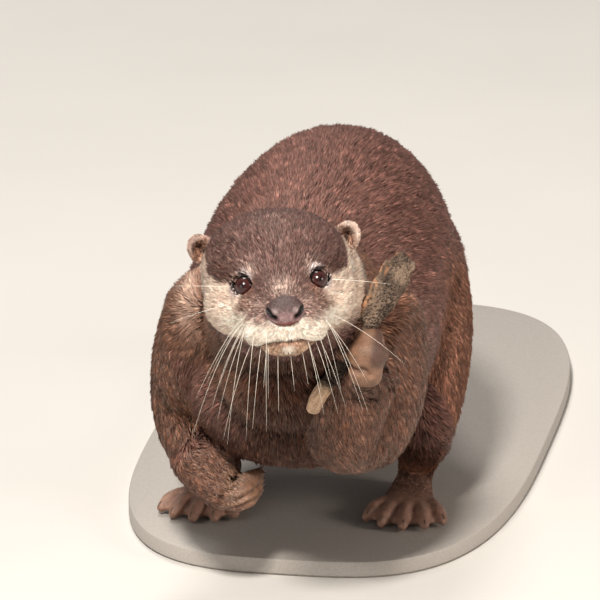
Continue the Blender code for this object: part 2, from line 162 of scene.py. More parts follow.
def worked(mesh, *modifiers, weights=None):
    # the mesh after these modifiers, each given as its type and its settings
    piece = placed("work", mesh)
    if weights is not None:
        group = piece.vertex_groups.new(name="share")
        group.add(np.nonzero(weights)[0].tolist(), 1.0, "REPLACE")
    for kind, settings in modifiers:
        modifier = piece.modifiers.new(kind.lower(), kind)
        for key, value in settings.items():
            setattr(modifier, key, value)
    bpy.context.view_layer.update()
    graph = bpy.context.evaluated_depsgraph_get()
    made = bpy.data.meshes.new_from_object(piece.evaluated_get(graph))
    bpy.data.objects.remove(piece)
    return made


def nodesMesh(names, swell):
    # one mesh of the named nodes, each swollen a little so that they run together
    whole = bmesh.new()
    for name in names:
        part = bmesh.new()
        part.from_mesh(nodes[name].data)
        bmesh.ops.remove_doubles(part, verts=part.verts, dist=1e-6)
        part.normal_update()
        for vert in part.verts:
            vert.co += vert.normal * swell
        mesh = bpy.data.meshes.new("part")
        part.to_mesh(mesh)
        part.free()
        whole.from_mesh(mesh)
    mesh = bpy.data.meshes.new("whole")
    whole.to_mesh(mesh)
    whole.free()
    return mesh


def readings(items, key, width, kind=float):
    # one row of numbers for each vertex, edge or triangle
    values = np.zeros(len(items) * width, kind)
    items.foreach_get(key, values)
    return values.reshape(-1, width)


def placesOf(mesh):
    return readings(mesh.vertices, "co", 3)


def normalsOf(mesh):
    return readings(mesh.vertices, "normal", 3)


def edgesOf(mesh):
    return readings(mesh.edges, "vertices", 2, np.int32)


def treeOf(mesh):
    return BVHTree.FromPolygons(placesOf(mesh), [tuple(p.vertices) for p in mesh.polygons])


def setPlaces(mesh, places):
    mesh.vertices.foreach_set("co", np.ascontiguousarray(places, np.float32).ravel())
    mesh.update()


def neighbourMean(values, edges):
    total = len(values)
    first, second = edges.T
    count = np.maximum(np.bincount(edges.ravel(), minlength=total), 1)
    columns = [
        np.bincount(first, values[second, k], total) + np.bincount(second, values[first, k], total)
        for k in range(values.shape[1])
    ]
    return np.stack(columns, 1) / count[:, None]


def spread(values, edges, passes, share=0.5):
    # values evened out over the mesh; share may differ from point to point
    for _ in range(passes):
        values = values + (neighbourMean(values, edges) - values) * share
    return values


def paint(mesh, colours):
    layer = mesh.color_attributes.new("tone", "FLOAT_COLOR", "POINT")
    rgba = np.ones((len(mesh.vertices), 4), np.float32)
    rgba[:, :3] = colours
    layer.data.foreach_set("color", rgba.ravel())


def meshFrom(name, places, faces):
    # faces is an array of triangles or of quads
    mesh = bpy.data.meshes.new(name)
    sides = faces.shape[1]
    mesh.vertices.add(len(places))
    mesh.vertices.foreach_set("co", np.ascontiguousarray(places, np.float32).ravel())
    mesh.loops.add(faces.size)
    mesh.loops.foreach_set("vertex_index", np.ascontiguousarray(faces, np.int32).ravel())
    mesh.polygons.add(len(faces))
    mesh.polygons.foreach_set("loop_start", np.arange(0, faces.size, sides, dtype=np.int32))
    mesh.update(calc_edges=True)
    mesh.shade_smooth()
    return mesh


# materials

def addNode(tree, kind, **settings):
    node = tree.nodes.new("ShaderNode" + kind)
    for key, value in settings.items():
        if key in node.inputs:
            node.inputs[key].default_value = value
        else:
            setattr(node, key, value)
    return node


def grainRange(tree, grain, least, most):
    # a value that follows the grain, from least in its pits to most on its peaks
    settings = {"From Min": 0.3, "From Max": 0.7, "To Min": least, "To Max": most}
    shift = addNode(tree, "MapRange", **settings)
    tree.links.new(grain, shift.inputs["Value"])
    return shift.outputs["Result"]


def grainMaterial(name, size, shades, relief=0.0, tone=None, detail=3.0, **values):
    # a tone, or else the mesh's own tones, with a grain in colour and relief, size in metres across
    material = bpy.data.materials.new(name)
    material.use_nodes = True
    tree = material.node_tree
    shader = tree.nodes["Principled BSDF"]
    for key, value in values.items():
        shader.inputs[key].default_value = value
    space = addNode(tree, "TexCoord")
    noiseNode = addNode(tree, "TexNoise", Scale=1 / size, Detail=detail, Roughness=0.6)
    tree.links.new(space.outputs["Object"], noiseNode.inputs["Vector"])
    grain = noiseNode.outputs["Fac"]
    shaded = addNode(tree, "VectorMath", operation="SCALE")
    if tone is None:
        own = addNode(tree, "Attribute", attribute_name="tone")
        tree.links.new(own.outputs["Color"], shaded.inputs[0])
        base = values["Roughness"]
        tree.links.new(grainRange(tree, grain, base - 0.06, base + 0.08), shader.inputs["Roughness"])
    else:
        shaded.inputs[0].default_value = tone
    tree.links.new(grainRange(tree, grain, *shades), shaded.inputs["Scale"])
    tree.links.new(shaded.outputs["Vector"], shader.inputs["Base Color"])
    if relief:
        bump = addNode(tree, "Bump", Strength=1.0, Distance=relief)
        tree.links.new(grain, bump.inputs["Height"])
        tree.links.new(bump.outputs["Normal"], shader.inputs["Normal"])
    return material


# the skin: one closed surface in place of the parts of flesh

skinShape = {
    "swell": 0.5 * mm,  # how far the parts grow so that their cuts close
    "voxel": 1.2 * mm,
    "smoothing": 7,
    "bodyShare": 0.42,  # share of the faces kept where the coat is long
    "fine": ("head", "lower_jaw", "ear_left", "ear_right", "hand_left", "hand_right",
             "foot_left", "foot_right"),
    "blendCoat": 14,  # passes that blend the coat's lengths from part to part
    "blendLie": 10,  # and the way it lies
    "blendTones": 12,  # and its colours
}


def makeSkinMesh():
    whole = nodesMesh(flesh, skinShape["swell"])
    whole = worked(
        whole,
        ("REMESH", {"mode": "VOXEL", "voxel_size": skinShape["voxel"]}),
        ("SMOOTH", {"factor": 0.5, "iterations": skinShape["smoothing"]}),
    )
    places = placesOf(whole)
    keep = np.zeros(len(places), bool)
    for name in skinShape["fine"]:
        keep |= inBox(places, name, 3 * mm)
    settings = {"ratio": skinShape["bodyShare"], "vertex_group": "share", "vertex_group_factor": 1.0}
    return worked(whole, ("DECIMATE", settings), weights=~keep)


def refine(mesh, wanted):
    # splits the faces in a region; wanted says which places are in it
    form = bmesh.new()
    form.from_mesh(mesh)
    inside = wanted(np.array([v.co for v in form.verts]))
    form.verts.ensure_lookup_table()
    edges = [e for e in form.edges if inside[e.verts[0].index] and inside[e.verts[1].index]]
    bmesh.ops.subdivide_edges(form, edges=edges, cuts=1, use_grid_fill=True)
    bmesh.ops.triangulate(form, faces=[f for f in form.faces if len(f.verts) > 4])
    form.to_mesh(mesh)
    form.free()


def onFace(places):
    x, y, z = inHead(places).T
    return (y < 0.4) & (abs(x) < 3.4) & (z > -3.4) & (z < 1.3)


def atEyesOrMouth(places):
    x, y, z = inHead(places).T
    eye = headShape["eye"]
    atEye = (abs(x) - eye[0]) ** 2 + (y - eye[1]) ** 2 + (z - eye[2]) ** 2 < 1.0
    atMouth = (abs(mouthHeight(places)) < 0.4) & (y < -0.8)
    return atEye | atMouth


mouthShape = {
    "middle": (0.0, -2.6, -3.12),  # cm, the jaw's rounded form under the lip line
    "radii": (2.0, 2.2, 1.5),
}


def mouthHeight(places):
    # how far a place is above the line of the closed mouth, in cm
    local = (inHead(places) - mouthShape["middle"]) / mouthShape["radii"]
    return (np.linalg.norm(local, axis=1) - 1) * 1.5


# the coat: depth, hair length and hair width in mm, hairs on a square mm, and the way it lies
coatOf = {
    "neck": (3.2, 7.5, 0.47, 2.0, "back"),
    "chest": (3.6, 8.0, 0.6, 1.45, "back"),
    "belly": (3.8, 8.0, 0.6, 1.3, "back"),
    "rump": (3.6, 8.0, 0.6, 1.3, "back"),
    "tail_base": (2.8, 8.0, 0.6, 1.4, ("tail_base", "tail_middle")),
    "tail_middle": (2.0, 7.0, 0.55, 1.6, ("tail_middle", "tail_tip")),
    "tail_tip": (1.4, 6.0, 0.5, 1.9, ("tail_middle", "tail_tip")),
    "head": (2.2, 6.0, 0.46, 2.4, "face"),
    "lower_jaw": (0.8, 3.0, 0.3, 5.0, "face"),
    "ear": (0.6, 3.0, 0.3, 5.0, "face"),
    "upper_arm": (2.4, 8.0, 0.5, 1.8, ("upper_arm", "forearm")),
    "forearm": (1.4, 6.2, 0.42, 2.5, ("forearm", "hand")),
    "hand": (0.3, 2.2, 0.3, 3.0, ("forearm", "hand")),
    "thigh": (3.0, 7.5, 0.55, 1.7, ("thigh", "shank")),
    "shank": (1.7, 5.5, 0.5, 2.2, ("shank", "foot")),
    "foot": (0.3, 2.4, 0.3, 3.0, "toes"),
}
faceCoat = {"depth": 0.8, "length": 3.4, "width": 0.34, "number": 4.4}  # at the muzzle
layWays = {"back": (0, 1, -0.5), "toes": (0, -1, -0.25)}
# parts whose coat lies another way
ownWays = {"forearm_left": (0.35, -0.1, -1.0), "upper_arm_left": (0.3, 0.1, -1.0)}


def kindAndSide(name):
    for side in ("_left", "_right"):
        if name.endswith(side):
            return name.removesuffix(side), side
    return name, ""


def partAt(places):
    # the number in the list of flesh parts of the part nearest to each place
    verts, faces, owners = [], [], []
    for number, name in enumerate(flesh):
        first = len(verts)
        verts += [v.co for v in nodes[name].data.vertices]
        for face in nodes[name].data.polygons:
            faces.append([first + i for i in face.vertices])
            owners.append(number)
    tree = BVHTree.FromPolygons(verts, faces)
    return np.array([owners[tree.find_nearest(Vector(p))[2]] for p in places])


def lieAt(name, places):
    # the way the hair of a part points at these places, before it is laid on the surface
    kind, side = kindAndSide(name)
    way = coatOf[kind][4]
    if way == "face":
        away = unit(places - fromHead((0, -3.2, -0.8)))
        return unit(away + headAxes[:, 1] * 0.35)
    if name in ownWays or way in layWays:
        way = np.array(ownWays.get(name) or layWays[way], float)
    else:
        start, end = (middleOf(part if part in nodes else part + side) for part in way)
        way = end - start
    return np.tile(unit(way), (len(places), 1))


def laidFlat(ways, normals):
    return unit(ways - normals * (ways * normals).sum(1, keepdims=True))


def bareAt(places, parts, normals):
    # 1 where there is no hair: toes, palms and soles, and thin hair in the ears
    bare = np.zeros(len(places))
    for number, name in enumerate(flesh):
        kind = kindAndSide(name)[0]
        mine = parts == number
        low, high = (np.array(corner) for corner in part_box(name))
        x, y, _ = ((places[mine] - low) / (high - low)).T
        if name == "hand_left":
            outer = (places[mine][:, 0] - middleOf(name)[0]) / cm
            bare[mine] = smoothStep(0.74, 0.6, y) * smoothStep(1.3, 1.1, outer)
        elif name == "hand_right":
            bare[mine] = smoothStep(0.66, 0.82, x)
        elif kind == "foot":
            sole = smoothStep(-0.1, -0.5, normals[mine][:, 2])
            bare[mine] = np.maximum(smoothStep(0.5, 0.28, y), sole)
        elif kind == "ear":
            bare[mine] = 0.35 * smoothStep(0.1, 0.6, normals[mine] @ -headAxes[:, 1])
    return bare


def numbersOf(*names):
    return [flesh.index(name) for name in names]


def coatFields(mesh):
    # for each point of the skin: depth, length and width in metres, number, bareness, lie, part
    places, normals, edges = placesOf(mesh), normalsOf(mesh), edgesOf(mesh)
    parts = partAt(places)
    values = np.array([coatOf[kindAndSide(name)[0]][:4] for name in flesh])[parts]
    ways = np.zeros((len(places), 3))
    for number, name in enumerate(flesh):
        mine = parts == number
        ways[mine] = lieAt(name, places[mine])
    ahead = smoothStep(0.4, -2.4, inHead(places)[:, 1]) * np.isin(parts, numbersOf("head", "lower_jaw"))
    values = mixed(values, tuple(faceCoat.values()), ahead)
    bare = bareAt(places, parts, normals)
    fields = np.column_stack((values * (mm, mm, mm, 1), bare, ways))
    fields = spread(fields, edges, skinShape["blendCoat"])
    lie = laidFlat(fields[:, 5:8], normals)
    fields[:, 5:8] = laidFlat(spread(lie, edges, skinShape["blendLie"]), normals)
    return fields, parts


# the head's forms

eyeShape = {
    "radius": 0.555,  # cm
    "wide": 0.40,  # half of the opening between the lids
    "high": 0.335,
    "look": (0.36, -0.85, 0.38),  # the way the left eye faces
    "lidRise": 0.03,  # how far the lid's rim stands on the eyeball
    "socket": 0.78,  # depth of the skin behind the eyeball's front, in its radii
    "slant": -35.0,  # degrees that the outer corner is lower
    "round": 1.7,  # 2 for an oval opening, less for corners
}


def eyeMiddle(side):
    return np.array(headShape["eye"]) * (side, 1, 1)


def eyeAxes(side):
    look = unit(np.array(eyeShape["look"]) * (side, 1, 1))
    across = unit(np.cross((0, 0, side), -look))
    rise = np.cross(look, across) * side
    turn = radians(eyeShape["slant"])
    across, rise = across * cos(turn) - rise * sin(turn), rise * cos(turn) + across * sin(turn)
    return look, across, rise


def eyeRing(local, side):
    # 1 on the rim of the lids, less inside the opening, more outside it
    look, across, rise = eyeAxes(side)
    away = local - eyeMiddle(side)
    power = eyeShape["round"]
    u, v = abs(away @ across / eyeShape["wide"]), abs(away @ rise / eyeShape["high"])
    return np.where(away @ look > -0.1, (u ** power + v ** power) ** (1 / power), 9.0)


def shapeLids(local):
    # the lids hug the eyeball, and the skin inside the opening sinks behind it
    for side in (1, -1):
        ring = eyeRing(local, side)
        near = ring < 2.6
        away = local[near] - eyeMiddle(side)
        off = ring[near] - 1
        snapped = np.where(abs(off) < 0.22, off * abs(off) / 0.22, off)
        look, _, _ = eyeAxes(side)
        depth = np.outer(away @ look, look)
        away = (away - depth) * ((1 + snapped) / np.maximum(ring[near], 0.05))[:, None] + depth
        reach = np.linalg.norm(away, axis=1)
        hug = eyeShape["radius"] + eyeShape["lidRise"] * smoothStep(2.0, 1.0, 1 + snapped)
        blend = smoothStep(2.4, 1.15, 1 + snapped)
        wanted = reach * (1 - blend) + np.maximum(hug, reach * (snapped > 0.8)) * blend
        wanted = np.where(snapped < -0.02, eyeShape["radius"] * eyeShape["socket"], wanted)
        local[near] = eyeMiddle(side) + unit(away) * wanted[:, None]
    return local


lipShape = {
    "padMiddle": (1.35, -3.0, -1.7),  # cm, the left whisker pad
    "padRadius": 1.25,
    "padRise": 0.28,
    "crease": 0.20,  # depth of the mouth line
    "creaseWidth": 0.085,
    "upperRoll": 0.05,
    "lowerLip": 0.07,
}


noseShape = {
    "radii": (1.05, 0.78, 0.84),  # cm
    "foot": 0.78,  # width at its lower edge, in widths of its middle
    "below": 0.64,  # height of its lower half
    "nostril": ((0.9, 0.14), (0.86, 0.0), (0.75, -0.13), (0.56, -0.18)),  # x and z, left side
    "nostrilWide": (0.19, 0.1),
    "nostrilDeep": 0.4,
    "wing": 0.08,
}
noseSeat = {
    "shift": (0, -0.3, 0.1),  # cm, the bare spot under the leather
    "radii": (1.0, 0.85, 0.7),
    "back": 0.02,  # how far back the skin goes behind it
    "edge": (1.0, 0.84),
}


def noseWidth(z):
    return noseShape["radii"][0] * (1 - (1 - noseShape["foot"]) * smoothStep(-0.05, -0.55, z))


def noseRing(away):
    # 1 on the outline of the leather seen from ahead
    height = np.where(away[:, 2] < 0, noseShape["below"], noseShape["radii"][2])
    return np.hypot(away[:, 0] / noseWidth(away[:, 2]), away[:, 2] / height)


def shapeMuzzle(local, normals):
    # whisker pads that hang beside the mouth
    gap = np.linalg.norm(np.column_stack((abs(local[:, 0]), local[:, 1:])) - lipShape["padMiddle"], axis=1)
    swell = (bell(gap / lipShape["padRadius"], 0.6) * lipShape["padRise"])[:, None]
    local = local + normals * 0.45 * swell + np.array((0, -0.1, -0.9)) * swell
    # the skin gives way to the nose leather
    away = local - headShape["nose"]
    share = smoothStep(*noseSeat["edge"], noseRing(away))
    back = np.clip(noseSeat["back"] - away[:, 1], 0, 1.2) * share * (away[:, 1] > -1.5)
    return local + np.outer(back, (0, 1, 0))


def shapeMouth(local, normals, height):
    # the closed mouth line, the roll of the upper lip and a small lower lip
    ahead = smoothStep(-0.6, -1.6, local[:, 1])
    line = bell(height, lipShape["creaseWidth"]) * lipShape["crease"]
    upper = bell(height - 0.22, 0.14) * lipShape["upperRoll"]
    lower = bell(height + 0.22, 0.13) * bell(local[:, 0], 0.75) * lipShape["lowerLip"]
    return local + normals * ((upper + lower - line) * ahead)[:, None]


earShape = {
    "radii": (0.62, 0.78),  # cm, of the hollow in front, across and up
    "inwards": 0.14,
    "down": 0.12,
    "deep": 0.2,
}


def earHollow(local, normals, side):
    # 0 in the middle of the ear's hollow, 1 at its rim and 9 away from it
    ear = inHead(middleOf("ear_left" if side > 0 else "ear_right")[None])[0]
    away = local - ear + (side * earShape["inwards"], 0, earShape["down"])
    ring = np.hypot(away[:, 0] / earShape["radii"][0], away[:, 2] / earShape["radii"][1])
    return np.where((normals[:, 1] < -0.15) & (abs(away[:, 1]) < 0.9), ring, 9.0)


def shapeEars(local, normals):
    for side in (1, -1):
        hollow = smoothStep(0.95, 0.3, earHollow(local, normals, side))
        local = local + np.outer(hollow * earShape["deep"], (0, 1, 0))
    return local


def distanceToPath(points, path):
    best = np.full(len(points), 9.0)
    for start, end in zip(path[:-1], path[1:]):
        start, end = np.array(start), np.array(end)
        run = end - start
        share = np.clip((points - start) @ run / (run @ run), 0, 1)
        best = np.minimum(best, np.linalg.norm(points - start - share[:, None] * run, axis=1))
    return best


# folds between the closed toes, seen from ahead, in cm from the middle of the paw's box
foldsOf = {
    "hand_left": (
        ((-1.2, 0.35), (-0.86, 0.19), (-0.4, 0.02), (0.0, -0.08)),
        ((0.14, 0.08), (0.42, -0.06), (0.56, -0.26)),
    ),
    "hand_right": (
        ((0.5, 0.1), (1.0, 0.35), (1.5, 0.5)),
        ((0.45, -0.35), (1.0, -0.15), (1.6, 0.1)),
    ),
}
foldShape = {"wide": 0.11, "deep": 0.15, "swell": 0.06}


def foldsAt(places, normals, node):
    # 1 in the folds of a paw and 0 away from them, and the swelling beside them
    local = (places - middleOf(node)) / cm
    gap = np.min([distanceToPath(local[:, (0, 2)], path) for path in foldsOf[node]], axis=0)
    front = smoothStep(0.0, -0.3, normals[:, 1]) * inBox(places, node, 3 * mm)
    return bell(gap, foldShape["wide"]) * front, bell(gap - 0.28, 0.14) * front


def shapeFolds(places, normals):
    for node in foldsOf:
        fold, beside = foldsAt(places, normals, node)
        rise = foldShape["swell"] * beside - foldShape["deep"] * fold
        places = places + normals * (rise * cm)[:, None]
    return places


fistShape = {
    "toes": ((0.26, 0.0, -0.42), (1.04, 0.8, 0.76)),  # cm from the paw's middle; middle and radii
    "palm": ((0.36, 0.0, 0.7), (1.14, 0.85, 1.0)),
    "drawnIn": 0.65,  # how much the back of the paw narrows
    "smoothing": 22,
}
wristShape = {"below": 6.4 * cm, "raise": 0.3}


def shapeFist(places):
    # the closed toes become a round lobe, with the rounded back of the paw above it
    local = (places - middleOf("hand_left")) / cm
    x, y, z = local.T
    inPaw = inBox(places, "hand_left", 2 * mm)
    near = inPaw & (y < 0.8)
    front = y[near & (abs(x - 0.2) < 0.5)].min()
    made = np.zeros((len(local), 3))
    for lobe, share in (("toes", smoothStep(0.1, -0.15, z)), ("palm", smoothStep(-0.15, 0.1, z))):
        centre, radii = fistShape[lobe]
        centre = np.array(centre) + (0, front + radii[1], 0)
        away = local - centre
        ring = np.linalg.norm(away / radii, axis=1)[:, None]
        made += (centre + away / np.maximum(ring, 0.3)) * share[:, None]
    share = near * smoothStep(0.8, 0.3, y) * smoothStep(1.6, 1.1, z)
    places = places + (made - local) * share[:, None] * cm
    # behind it the back of the paw is drawn in
    wide = np.clip(x - 0.7, 0, None) * smoothStep(0.1, 0.6, y) * smoothStep(-2.2, -1.4, z)
    return places - np.outer(wide * fistShape["drawnIn"] * inPaw, (cm, 0, 0))


def shapeWrist(places):
    # the underside of the raised wrist and paw is drawn up
    share = inBox(places, "hand_right", 3 * mm) | inBox(places, "forearm_right", 3 * mm)
    drop = np.clip(wristShape["below"] - places[:, 2], 0, None) * wristShape["raise"]
    return places + np.outer(share * drop, (0, 0, 1))


def makeSkin():
    mesh = makeSkinMesh()
    refine(mesh, onFace)
    refine(mesh, atEyesOrMouth)
    mesh.shade_smooth()
    fields, parts = coatFields(mesh)
    edges = edgesOf(mesh)
    # the skin lies inside the solids by the coat's depth, evened out where the coat is long
    places = placesOf(mesh) - normalsOf(mesh) * fields[:, :1]
    places = spread(places, edges, 5, np.minimum(fields[:, :1] / (4 * mm), 1) * 0.5)
    faceShare = smoothStep(1.0, 0.0, inHead(places)[:, 1])[:, None]
    places = spread(places, edges, 3, 0.4 * faceShare)
    setPlaces(mesh, places)
    height = mouthHeight(places)
    local = shapeMuzzle(inHead(places), normalsOf(mesh) @ headAxes)
    setPlaces(mesh, fromHead(local))
    normals = normalsOf(mesh) @ headAxes
    local = shapeLids(shapeMouth(local, normals, height))
    local = shapeEars(local, normals)
    places = shapeWrist(shapeFist(fromHead(local)))
    inFist = inBox(places, "hand_left", 1 * mm)
    setPlaces(mesh, spread(places, edges, fistShape["smoothing"], 0.5 * inFist[:, None]))
    setPlaces(mesh, shapeFolds(placesOf(mesh), normalsOf(mesh)))
    fields[:, 4] = np.maximum(fields[:, 4], faceBare(local, height))
    return mesh, fields, parts, height


def faceBare(local, height):
    # 1 round the eyes, on the lips and under the nose leather
    ahead = smoothStep(-1.5, -2.6, local[:, 1])
    seat = np.linalg.norm((local - headShape["nose"] - noseSeat["shift"]) / noseSeat["radii"], axis=1)
    return np.maximum.reduce((
        smoothStep(1.75, 1.45, eyeRing(local, 1)),
        smoothStep(1.75, 1.45, eyeRing(local, -1)),
        bell(height, 0.1) * ahead,
        bell(height + 0.3, 0.24) * bell(local[:, 0], 0.6) * ahead,
        smoothStep(1.15, 1.0, seat),
    ))


# the markings, the same for skin and coat

tones = toneTable({
    "back": (101, 69, 62), "crown": (79, 53, 50), "flank": (108, 74, 58), "shadedThroat": (68, 36, 21),
    "limb": (92, 56, 39), "thigh": (118, 80, 64), "paw": (142, 108, 92), "tail": (88, 62, 54),
    "dark": (70, 44, 38), "cream": (226, 202, 184), "white": (230, 216, 200),
    "muzzle": (104, 74, 71), "streak": (96, 62, 52), "bare": (118, 82, 66), "fist": (120, 89, 69),
    "fistShadeSide": (66, 44, 38), "earInside": (200, 176, 162), "earRim": (120, 86, 78),
    "earHollow": (116, 78, 56), "recessShade": (76, 46, 34), "lip": (184, 142, 120),
    "chin": (196, 162, 136), "mouth": (70, 28, 24), "rim": (40, 24, 21), "lid": (206, 188, 184),
    "frostAndGlint": (214, 190, 174), "pepper": (156, 122, 108), "scruff": (184, 156, 140),
    "under": (54, 30, 20), "claw": (96, 74, 62),
})


def toned(colour, name, share):
    return mixed(colour, tones[name], share)


# in cm in the head's axes
headMarks = {
    # the pale cheek's upper edge, from the eye to below the ear: how far back, and how high
    "cheekEdge": ((-2.2, -0.9, -0.15, 0.8, 1.5, 2.2, 4.2), (0.0, 0.2, 0.1, -0.05, 0.35, 0.55, 0.9)),
    "streak": (1.62, 1.0),  # how far out the dark streak under the eye starts, and how far it runs out
    "cheekShare": 0.93,
}


def headTones(local, height):
    x, y, z = local.T
    a = abs(x)
    wave = ripples(local, 0.5, 1) * 0.2 + ripples(local, 0.16, 2) * 0.12
    # the crown, darker behind the eye
    behindEye = bell(a - 3.0, 0.7) * bell(z - 0.55, 0.45) * smoothStep(1.5, 0.5, y)
    colour = toned(np.tile(tones["crown"], (len(local), 1)), "dark", 0.8 * behindEye)
    # the pale cheek, which fades backwards and below
    edge = np.interp(y, *headMarks["cheekEdge"])
    cheek = smoothStep(0.1, -0.1, z - edge + wave) * smoothStep(1.9, 2.2, a + wave)
    cheek = np.maximum(cheek, smoothStep(-0.9, -1.4, z + wave) * smoothStep(1.5, 2.3, a))
    fade = smoothStep(5.4, 3.6, y - 0.3 * z + 1.5 * wave) * smoothStep(-3.7, -2.3, z + wave)
    fade = fade * (1 - 0.3 * smoothStep(0.3, 1.6, y + 2 * wave) * (x < 0))
    colour = toned(colour, "cream", headMarks["cheekShare"] * cheek * fade)
    # the top of the muzzle, with the dark streaks from the eyes
    muzzle = smoothStep(-1.7, -2.3, y + wave) * smoothStep(2.5, 2.1, a) * smoothStep(-0.1, -0.35, z)
    colour = toned(colour, "muzzle", 0.85 * muzzle)
    along = np.clip((-0.05 - z) / 1.5, 0, 1)
    start, run = headMarks["streak"]
    streak = bell(a - start - run * along, 0.26 + 0.06 * along)
    streak = streak * smoothStep(-1.75, -1.2, z) * smoothStep(0.25, 0.0, z) * smoothStep(-0.7, -1.2, y)
    colour = toned(colour, "streak", 0.95 * streak)
    # the white lip
    lip = smoothStep(-0.7, -1.25, z + 0.08 * a + 1.3 * wave) * smoothStep(-0.6, -1.6, y) * (height > -0.1)
    return toned(colour, "white", lip)


def chinTones(local, height, colour):
    # the chin, the lower lip with a painted wet highlight, and the dark line of the mouth, painted shade in
    # its crease
    x, y, _ = local.T
    # below the lip and at the sides the chin takes the throat's colour with its painted shade
    away = np.maximum(smoothStep(-0.4, -0.95, height), smoothStep(0.9, 1.5, abs(x)))
    chin = toned(tones["chin"][None, :], "shadedThroat", away)
    colour = mixed(colour, chin, smoothStep(0.05, -0.05, height) * smoothStep(0.6, -0.8, y))
    ahead = smoothStep(-1.2, -2.2, y)
    lowerLip = bell(height + 0.2, 0.17) * bell(x, 0.7)
    colour = toned(colour, "lip", np.clip(1.3 * lowerLip * ahead, 0, 1))
    # a painted wet highlight on the middle of the lower lip
    wetHighlight = bell(height + 0.38, 0.13) * bell(x, 0.3) * (1 + 0.6 * ripples(local, 0.1, 18))
    colour = toned(colour, "white", np.clip(1.7 * wetHighlight * ahead, 0, 1))
    # the mouth's line is painted dark, as painted shade in its crease
    line = bell(height, 0.07) * ahead * smoothStep(1.3, 1.0, abs(x))
    return toned(colour, "mouth", np.clip(1.2 * line, 0, 1))


def underPaw(places, parts):
    # 1 on the forearm just round the closed paw, where it is always in shadow
    beside = parts == flesh.index("forearm_left")
    near = np.nonzero(inBox(places, "hand_left", 8 * mm) & beside)[0]
    tree = treeOf(nodes["hand_left"].data)
    gap = np.array([tree.find_nearest(Vector(p))[3] for p in places[near]])
    shade = np.zeros(len(places))
    shade[near] = smoothStep(4.5 * mm, 1.5 * mm, gap)
    return shade


def shareOf(names, parts, edges, passes):
    # 1 on these parts and 0 on the others, with a soft edge
    return spread(np.isin(parts, numbersOf(*names)).astype(float)[:, None], edges, passes)[:, 0]


def bodyTones(local, normals, parts, edges):
    byPart = {"neck": "flank", "tail": "tail", "upper": "limb", "forearm": "limb", "hand": "bare",
              "foot": "paw", "shank": "limb", "thigh": "thigh", "ear": "earInside"}
    base = [tones[byPart.get(name.split("_")[0], "back")] for name in flesh]
    colour = spread(np.array(base)[parts], edges, skinShape["blendTones"])
    x, y, z = local.T
    # the throat and the front under the head are painted darker: their brown with painted shade from the
    # head
    shadedThroat = smoothStep(-3.6, -4.6, z) * smoothStep(2.6, 1.4, abs(x)) * smoothStep(8.0, 4.0, y)
    colour = toned(colour, "shadedThroat", shadedThroat)
    wave = ripples(local, 0.9, 24) * 0.5
    scruff = bell(x + 4.5, 0.6) * bell(z + 3.4 + wave, 1.5) * smoothStep(11, 9, y)
    colour = toned(colour, "scruff", 0.7 * scruff)
    # the neck, chest and belly are painted darker where they face down, as painted shade
    under = smoothStep(0.15, -0.5, normals[:, 2]) * shareOf(("neck", "chest", "belly"), parts, edges, 8)
    return toned(colour, "under", 0.85 * under)


def eyeTones(local, colour):
    # pale fur at two corners of the lids, and their dark rim
    for side in (1, -1):
        ring = eyeRing(local, side)
        _, across, rise = eyeAxes(side)
        away = local - eyeMiddle(side)
        inner, below = away @ across, away @ rise
        beside = smoothStep(1.25, 1.45, ring) * smoothStep(2.5, 1.9, ring)
        corner = smoothStep(0.1, 0.3, abs(below)) * smoothStep(0.5, 0.3, abs(inner + 0.1))
        socket = smoothStep(1.08, 1.2, ring) * smoothStep(1.75, 1.55, ring)
        colour = toned(colour, "pepper", 0.65 * socket)
        colour = toned(colour, "lid", 0.9 * beside * corner)
        colour = toned(colour, "rim", smoothStep(1.16, 1.06, ring))
    return colour


def earTones(local, normals, parts, colour):
    for side, name in ((1, "ear_left"), (-1, "ear_right")):
        hollow = earHollow(local, normals @ headAxes, side)
        if side < 0:
            colour = toned(colour, "earRim", 0.5 * (parts == flesh.index(name)))
        colour = toned(colour, "earHollow", 0.85 * smoothStep(1.0, 0.6, hollow))
        inner = hollow + 0.4 * side * (local[:, 0] - side * 4)
        # the deepest part of each ear's hollow is painted darker, as painted shade
        colour = toned(colour, "recessShade", 0.8 * smoothStep(0.7, 0.2, inner))
    return colour


def pawTones(places, normals, parts, bare, colour):
    mottled = ripples(places, 0.004, 15)
    fist = inBox(places, "hand_left", 2 * mm) * bare
    colour = toned(colour, "bare", 0.8 * bare * (places[:, 2] > 3 * cm))
    colour = toned(colour, "fist", 0.9 * fist)
    x, _, z = ((places - middleOf("hand_left")) / cm).T
    # the outer side of the closed paw is painted darker, as painted shade
    outer = smoothStep(0.35, 0.85, x + 0.15 * mottled) * smoothStep(-0.3, 0.5, z)
    colour = toned(colour, "fistShadeSide", 0.85 * fist * outer)
    for node in foldsOf:
        fold, _ = foldsAt(places, normals, node)
        inner = np.clip(0.6 - x, 0.2, 1) if node == "hand_left" else 1.0
        # the folds between the toes are painted darker, as painted shade
        colour = toned(colour, "recessShade", 0.95 * fold * inner)
    knuckles = smoothStep(0.052, 0.06, places[:, 2] + 0.002 * mottled) * inBox(places, "hand_right", 3 * mm)
    colour = toned(colour, "fist", 0.8 * knuckles * smoothStep(-0.033, -0.024, places[:, 0]))
    creases = ripples(places * (1, 1, 2.2), 0.0014, 16) + 0.6 * ripples(places, 0.0006, 20)
    colour = colour * (1 + bare * (0.3 * mottled + 0.22 * creases))[:, None]
    # painted shadow on the forearm round the closed paw
    return toned(colour, "recessShade", 0.9 * underPaw(places, parts))


